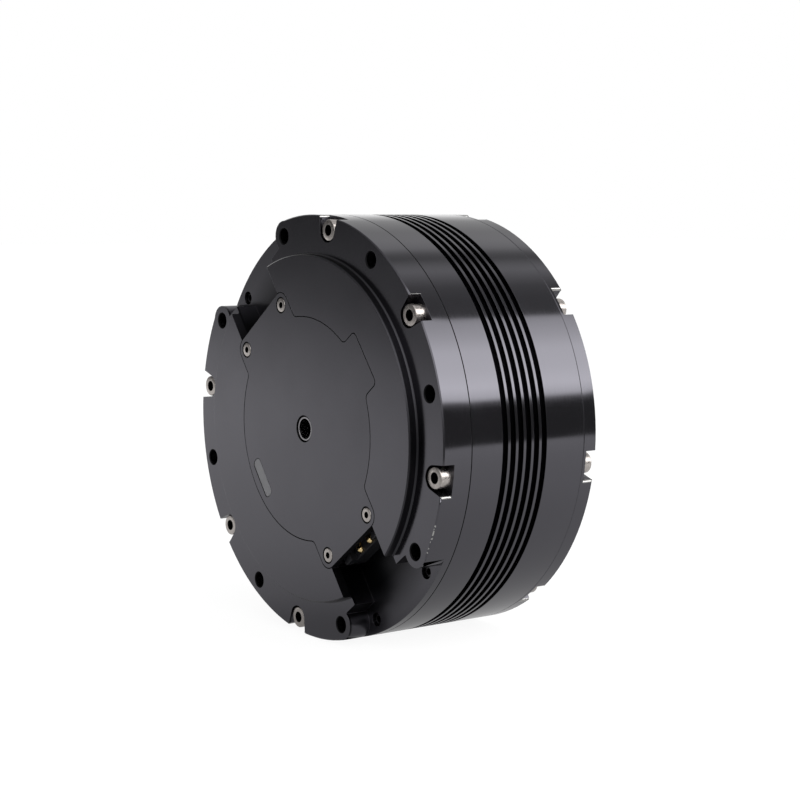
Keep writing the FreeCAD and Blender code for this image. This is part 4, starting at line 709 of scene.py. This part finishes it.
class ACTUATOR_OT_screws(bpy.types.Operator):
    """Socket screws of the casing, channels, cover, board, retainer, carrier and output flange"""

    bl_idname = "actuator.screws"
    bl_label = "Screws"

    def execute(self, context):
        scene = context.scene
        # cold headed and tumbled: bright, faintly warm, with soft patches
        steel = metal("stainless steel, cold headed", code_of(scene.actuator_finish.steel), 0.31, 0.7)
        # dipped after heat treatment: dark, with a dull gleam
        oxide = metal("alloy steel, black oxide", "#3c3b3d", 0.35, 0.4)
        screws_for("rear_housing_screws", REAR, steel, scene.actuator_m3)
        screws_for("front_housing_screws", FRONT, steel, scene.actuator_m3)
        screws_for("channel_screws", REAR, oxide, scene.actuator_set_screw)
        screws_for("cover_screws", REAR, steel, scene.actuator_m2)
        screws_for("board_screws", REAR, steel, scene.actuator_m2)
        screws_for("retainer_screws", FRONT, steel, scene.actuator_m2)
        screws_for("output_flange_screws", FRONT, steel, scene.actuator_m3, body="output")
        screws_for("carrier_screws", REAR, steel, scene.actuator_low_m3, body="output")
        return {"FINISHED"}


class ACTUATOR_OT_connectors(bpy.types.Operator):
    """Power connectors and their domed contacts"""

    bl_idname = "actuator.connectors"
    bl_label = "Connectors"

    def execute(self, context):
        finish = context.scene.actuator_finish
        # the fibres leave a dull black skin
        nylon = moulded("glass filled nylon, moulded", code_of(finish.nylon), 0.4, 0.25)
        # plated over turned brass: bright and yellow
        gold = metal("gold plated brass", code_of(finish.gold), 0.2, 0.4)
        for node in ("upper_connector", "lower_connector"):
            dressed(node, [nylon], 0.08 * MM)
        upper, lower = (sum((Vector(corner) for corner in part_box(node)), Vector()) / 2
                        for node in ("upper_connector", "lower_connector"))
        out = (upper - lower).normalized()
        places, facings = [], []
        for low, high in solids_of("connector_pins"):
            middle = (low + high) / 2
            facing = out if middle.dot(out) > 0 else -out
            width = high.y - low.y
            length = ((high.x - low.x) + (high.z - low.z)) / (abs(out.x) + abs(out.z)) - width
            places.append(middle + facing * length / 2)
            facings.append(facing)
        # the contacts are all alike, so the sizes of the last serve for all
        pins = copies_on("connector_pins_dressed", contact_tree(), places, facings, gold,
                         {"Diameter": width, "Length": length})
        declare(pins, "housing", "connector_pins")
        return {"FINISHED"}


class ACTUATOR_OT_electronics(bpy.types.Operator):
    """Driver board, its components and the thermal pad"""

    bl_idname = "actuator.electronics"
    bl_label = "Electronics"

    def execute(self, context):
        # solder mask gives a smooth green skin, chips and the pad are matt
        repaint("driver_board", moulded("glass epoxy board, green mask", "#1d4a35", 0.35, 0.2))
        repaint("board_components", moulded("epoxy chip packages", "#232325", 0.5, 0.1))
        repaint("thermal_pad", moulded("filled silicone pad", "#8b8f96", 0.7, 0.2))
        return {"FINISHED"}


class ACTUATOR_OT_motor(bpy.types.Operator):
    """Stator, windings, rotor and bearings"""

    bl_idname = "actuator.motor"
    bl_label = "Motor"

    def execute(self, context):
        # ground: close to a mirror
        bearing = metal("bearing steel, ground", "#b4b5b8", 0.18, 0.4)
        # plated: bright, faintly yellow
        nickel = metal("nickel plated magnets", "#c4c1b8", 0.25, 0.6)
        repaint("stator_core", laminated("#6c6c70", 0.35))
        # the enamel lets the copper glow through
        repaint("windings", metal("enamelled copper wire", "#b4602f", 0.3, 0.5))
        repaint("magnets", nickel)
        repaint("encoder_magnet", nickel)
        # the hub is turned and bright, the ring phosphated and dull
        repaint("rotor_hub", metal("aluminium, turned", "#a5a7aa", 0.3, 0.3))
        repaint("rotor_ring", metal("mild steel, phosphated", "#55565a", 0.5, 0.3))
        for node in ("rotor_bearing_inner", "rotor_bearing_outer", "rotor_bearing_balls",
                     "output_bearing_inner", "output_bearing_outer", "output_bearing_rollers"):
            repaint(node, bearing)
        return {"FINISHED"}


class ACTUATOR_OT_gears(bpy.types.Operator):
    """Sun, planets, ring gear and carrier"""

    bl_idname = "actuator.gears"
    bl_label = "Gears"

    def execute(self, context):
        # grey and smooth from the grinding wheel
        gear = metal("gear steel, hardened and ground", "#8d8e91", 0.28, 0.3)
        # pressed from powder: porous and dull
        bronze = metal("sintered bronze", "#b58a4c", 0.45, 0.15)
        for node in ("sun_gear", "ring_gear", "planet_gear_1", "planet_gear_2", "planet_gear_3",
                     "planet_carrier", "carrier_plate"):
            repaint(node, gear)
        for node in ("planet_bush_1", "planet_bush_2", "planet_bush_3", "pilot_bush"):
            repaint(node, bronze)
        # ground to size: close to a mirror
        repaint("planet_pins", metal("dowel steel, ground", "#b4b5b8", 0.16, 0.4))
        return {"FINISHED"}


class ACTUATOR_OT_output(bpy.types.Operator):
    """Output flange, bearing retainer, shaft seal and centre tube"""

    bl_idname = "actuator.output"
    bl_label = "Output"

    def execute(self, context):
        flange = black(context, "black anodised aluminium, fine faced", 0.22)
        # moulded rubber is matt; a drawn tube gleams softly
        rubber = moulded("nitrile rubber", "#1a1a1b", 0.6, 0.2)
        drawn = metal("stainless steel, drawn", "#8f8d90", 0.25, 0.6)
        dressed("output_flange", [flange], 0.12 * MM, body="output")
        dressed("bearing_retainer", [flange], 0.08 * MM)
        dressed("output_seal", [rubber], 0.06 * MM)
        dressed("centre_tube", [drawn], 0.05 * MM, body="output")
        return {"FINISHED"}


# --- studio ---------------------------------------------------------------------------------------

TENT_RADIUS, FLOOR_REACH = 4.0, 6.0     # metres
# brightness round the axis behind the object, in degrees from the right over the top to the left
BACK_LIGHTS = ((0, 0.14), (11, 0.14), (14, 0.5), (16, 3.6), (22, 4.5), (31, 4.0), (42, 3.8), (50, 3.0),
               (59, 2.4), (61, 2.1), (62, 0.3), (74, 0.32), (82, 0.4), (94, 0.85), (98, 0.7), (104, 0.36),
               (108, 0.45), (114, 0.85), (121, 0.85), (132, 0.65), (150, 0.6), (166, 1.1), (180, 0.9))
# the same in front of the object
FRONT_LIGHTS = ((0, 0.3), (12, 0.6), (25, 1.6), (60, 1.8), (80, 1.0), (100, 0.5), (125, 0.25), (150, 0.12),
                (180, 0.09))
# where the lights in front give way to those behind: the share of the way along the axis
FRONT_ENDS, BACK_STARTS = -0.2, 0.1
# brightness of the white paper in reflections, by distance from the object in metres; the dimming close to the
# object is a painted shadow of it
PAPER_LIGHT_AND_PAINTED_SHADOW = ((0.02, 0.4), (0.06, 0.62), (0.15, 0.82), (0.3, 0.94), (0.5, 1.1), (0.8, 1.15), (1.2, 0.95),
                (1.8, 0.5), (2.9, 0.3))
PAPER_END = 3.0         # metres
# edges of the paper: the way across each, how far out it is in metres, and how softly it ends
PAPER_EDGES = (((1.0, 0.0, 0.0), 0.41, 0.03), ((0.466, -0.885, 0.0), 0.15, 0.09))
BEYOND_PAPER = (0.14, 0.2)      # brightness past each edge
CARD_GAP = 0.1 * MM             # between the paper and the card over it
# how much of the paper's white is its own glow, and how bright that is
PAPER_GLOW = (0.85, 1.08)
# the way the camera looks, and how far its picture is shifted, in picture widths
CAMERA_LOOK = Vector((-0.7995, 0.5924, -0.0997))
CAMERA_SHIFT = (0.0169, -0.0015)


def ramp(tree, value, stops, full):
    """A brightness that follows stops of (place, level); full is the place at the ramp's end."""
    brightest = max(level for _, level in stops)
    made = add(tree, "ShaderNodeValToRGB", {"Fac": value})
    points = made.color_ramp.elements
    points.remove(points[1])
    for index, (place, level) in enumerate(stops):
        point = points[0] if index == 0 else points.new(place / full)
        point.position = place / full
        point.color = [level / brightest] * 3 + [1.0]
    return add(tree, MATH, {0: made, 1: brightest}, operation="MULTIPLY")


class ACTUATOR_OT_studio(bpy.types.Operator):
    """White floor, soft boxes and dark gaps, and the camera"""

    bl_idname = "actuator.studio"
    bl_label = "Studio"

    def execute(self, context):
        scene = context.scene
        scene.view_settings.view_transform = "Standard"
        self.world(scene)
        self.soft_boxes(scene.actuator_studio.level)
        self.floor()
        self.table()
        self.camera(scene)
        return {"FINISHED"}

    def world(self, scene):
        """Plain white all round, for the camera and in what metal and glass show."""
        world = bpy.data.worlds.new("studio")
        scene.world = world
        world.use_nodes = True
        connect(world.node_tree, world.node_tree.nodes["Background"], {"Color": [1.0] * 4, "Strength": 1.0})

    def card(self, name, shape):
        """A studio card that glows towards the object and stays out of the camera's sight."""
        thing = new_object(name, shape)
        thing.visible_camera = False
        material = bpy.data.materials.new(name)
        material.use_nodes = True
        shape.materials.append(material)
        tree = material.node_tree
        tree.nodes.remove(tree.nodes["Principled BSDF"])
        glow = add(tree, "ShaderNodeEmission")
        connect(tree, tree.nodes["Material Output"], {"Surface": glow})
        # cards this large are met by every reflection, so they need no sampling as lamps
        material.cycles.emission_sampling = "NONE"
        thing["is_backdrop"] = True
        return thing, tree, glow

    def soft_boxes(self, level):
        """A tent round the object: soft boxes and dark gaps laid out round its axis."""
        work = bmesh.new()
        bmesh.ops.create_icosphere(work, subdivisions=4, radius=TENT_RADIUS)
        shape = bpy.data.meshes.new("light tent")
        work.to_mesh(shape)
        work.free()
        _, tree, glow = self.card("light tent", shape)
        where = add(tree, "ShaderNodeTexCoord").outputs["Object"]
        look = add(tree, "ShaderNodeSeparateXYZ", {
            "Vector": add(tree, "ShaderNodeVectorMath", {0: where}, operation="NORMALIZE")}).outputs
        angle = add(tree, MATH, {0: look["Z"], 1: look["X"]}, operation="ARCTAN2")
        turn = add(tree, MATH, {0: angle, 1: math.pi}, operation="DIVIDE")
        behind = add(tree, RANGE, {"Value": look["Y"], "From Min": FRONT_ENDS, "From Max": BACK_STARTS})
        lights = add(tree, "ShaderNodeMix", {"Factor": behind, 2: ramp(tree, turn, FRONT_LIGHTS, 180),
                                             3: ramp(tree, turn, BACK_LIGHTS, 180)})
        connect(tree, glow, {"Strength": add(tree, MATH, {0: lights, 1: level}, operation="MULTIPLY")})

    def sheet(self, name, height):
        """A flat square mesh that lies level."""
        mesh = bpy.data.meshes.new(name)
        corners = [(x * FLOOR_REACH, y * FLOOR_REACH, height) for x, y in ((-1, -1), (1, -1), (1, 1), (-1, 1))]
        mesh.from_pydata(corners, [], [(0, 1, 2, 3)])
        return mesh

    def floor(self):
        """White paper that keeps the object's shadow; the camera, metal and glass see it white."""
        mesh = self.sheet("floor", CAD_BOX[0].z)
        paper = new_object("floor", mesh)
        # uncoated: matt, so the shadow on it is soft
        material, tree, shader = new_material("white paper", "#f2f2f2", 0.0, 0.9)
        mesh.materials.append(material)
        path = add(tree, "ShaderNodeLightPath").outputs
        seen = path["Is Camera Ray"]
        for other in ("Is Glossy Ray", "Is Transmission Ray"):
            seen = add(tree, MATH, {0: seen, 1: path[other]}, operation="MAXIMUM")
        share = add(tree, MATH, {0: seen, 1: PAPER_GLOW[0]}, operation="MULTIPLY")
        glow = add(tree, "ShaderNodeEmission", {"Strength": PAPER_GLOW[1]})
        blend = add(tree, "ShaderNodeMixShader", {"Fac": share, 1: shader, 2: glow})
        connect(tree, tree.nodes["Material Output"], {"Surface": blend})
        paper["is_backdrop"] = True

    def table(self):
        """What polished metal mirrors below it: paper that dims towards the object, as a painted shadow of it,
        and ends on two sides.
        """
        top, tree, glow = self.card("table card", self.sheet("table card", CAD_BOX[0].z + CARD_GAP))
        # seen in reflections only
        top.visible_diffuse = top.visible_shadow = top.visible_transmission = False
        where = add(tree, "ShaderNodeTexCoord").outputs["Object"]
        parts = add(tree, "ShaderNodeSeparateXYZ", {"Vector": where}).outputs
        away = add(tree, MATH, {0: across(tree, parts["X"], parts["Y"]), 1: PAPER_END}, operation="DIVIDE")
        tone = ramp(tree, away, PAPER_LIGHT_AND_PAINTED_SHADOW, PAPER_END)
        for (way, edge, softness), level in zip(PAPER_EDGES, BEYOND_PAPER):
            out = add(tree, "ShaderNodeVectorMath", {0: where, 1: way}, operation="DOT_PRODUCT").outputs
            dark = add(tree, RANGE, {"Value": out["Value"], "From Min": edge - softness,
                                     "From Max": edge + softness})
            tone = add(tree, "ShaderNodeMix", {"Factor": dark, 2: tone, 3: level})
        connect(tree, glow, {"Strength": tone})

    def camera(self, scene):
        """A long lens behind the object and a little above it, and a shift that centres the picture."""
        studio = scene.actuator_studio
        data = bpy.data.cameras.new("camera")
        data.lens = studio.lens
        data.shift_x, data.shift_y = CAMERA_SHIFT
        data.clip_start = 0.01
        camera = new_object("camera", data)
        camera.location = studio.place
        camera.rotation_euler = CAMERA_LOOK.to_track_quat("-Z", "Y").to_euler()
        scene.camera = camera


class ACTUATOR_PT_panel(bpy.types.Panel):
    """The actuator's pieces in the sidebar"""

    bl_label = "Joint actuator"
    bl_idname = "ACTUATOR_PT_panel"
    bl_space_type = "VIEW_3D"
    bl_region_type = "UI"
    bl_category = "Actuator"

    def draw(self, context):
        for operator in OPERATORS:
            self.layout.operator(operator.bl_idname)


# --- registering ----------------------------------------------------------------------------------

OPERATORS = (ACTUATOR_OT_casing, ACTUATOR_OT_cover, ACTUATOR_OT_screws, ACTUATOR_OT_connectors,
             ACTUATOR_OT_electronics, ACTUATOR_OT_motor, ACTUATOR_OT_gears, ACTUATOR_OT_output,
             ACTUATOR_OT_studio)
CLASSES = (ActuatorScrew, ActuatorFinish, ActuatorStudio) + OPERATORS + (ACTUATOR_PT_panel,)
GROUPS = {"actuator_m3": ActuatorScrew, "actuator_low_m3": ActuatorScrew, "actuator_m2": ActuatorScrew,
          "actuator_set_screw": ActuatorScrew, "actuator_finish": ActuatorFinish,
          "actuator_studio": ActuatorStudio}
# where a kind of screw differs from the common M3, in millimetres
SCREW_SIZES = {
    "actuator_low_m3": {"head": 1.6, "socket": 2.0, "depth": 0.95, "edge": 0.2},
    "actuator_m2": {"head": 1.0, "edge": 0.18, "thread": 2.0, "socket": 1.45, "depth": 0.7, "mouth": 0.06,
                    "play": 0.12},
    # a set screw has no head, so its first stretch is the full thread and the rest its core
    "actuator_set_screw": {"head": 2.65, "edge": 0.2, "thread": 2.4, "socket": 1.5, "mouth": 0.15},
}


def register():
    """Make the settings, pieces and panel known."""
    for item in CLASSES:
        bpy.utils.register_class(item)
    for name, group in GROUPS.items():
        setattr(bpy.types.Scene, name, PointerProperty(type=group))


def unregister():
    """Take back all that register adds."""
    for name in GROUPS:
        delattr(bpy.types.Scene, name)
    for item in reversed(CLASSES):
        bpy.utils.unregister_class(item)


def main():
    """Register, make every piece and the stage in turn, and measure the bounds of the frame and of the finished
    scene.
    """
    register()
    for name, sizes in SCREW_SIZES.items():
        for key, value in sizes.items():
            setattr(getattr(bpy.context.scene, name), key, value * MM)
    for operator in OPERATORS:
        section, name = operator.bl_idname.split(".")
        getattr(getattr(bpy.ops, section), name)()
    sizes = {"cad": [list(corner) for corner in CAD_BOX], "visual": [list(corner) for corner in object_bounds()]}


if __name__ == "__main__":
    main()
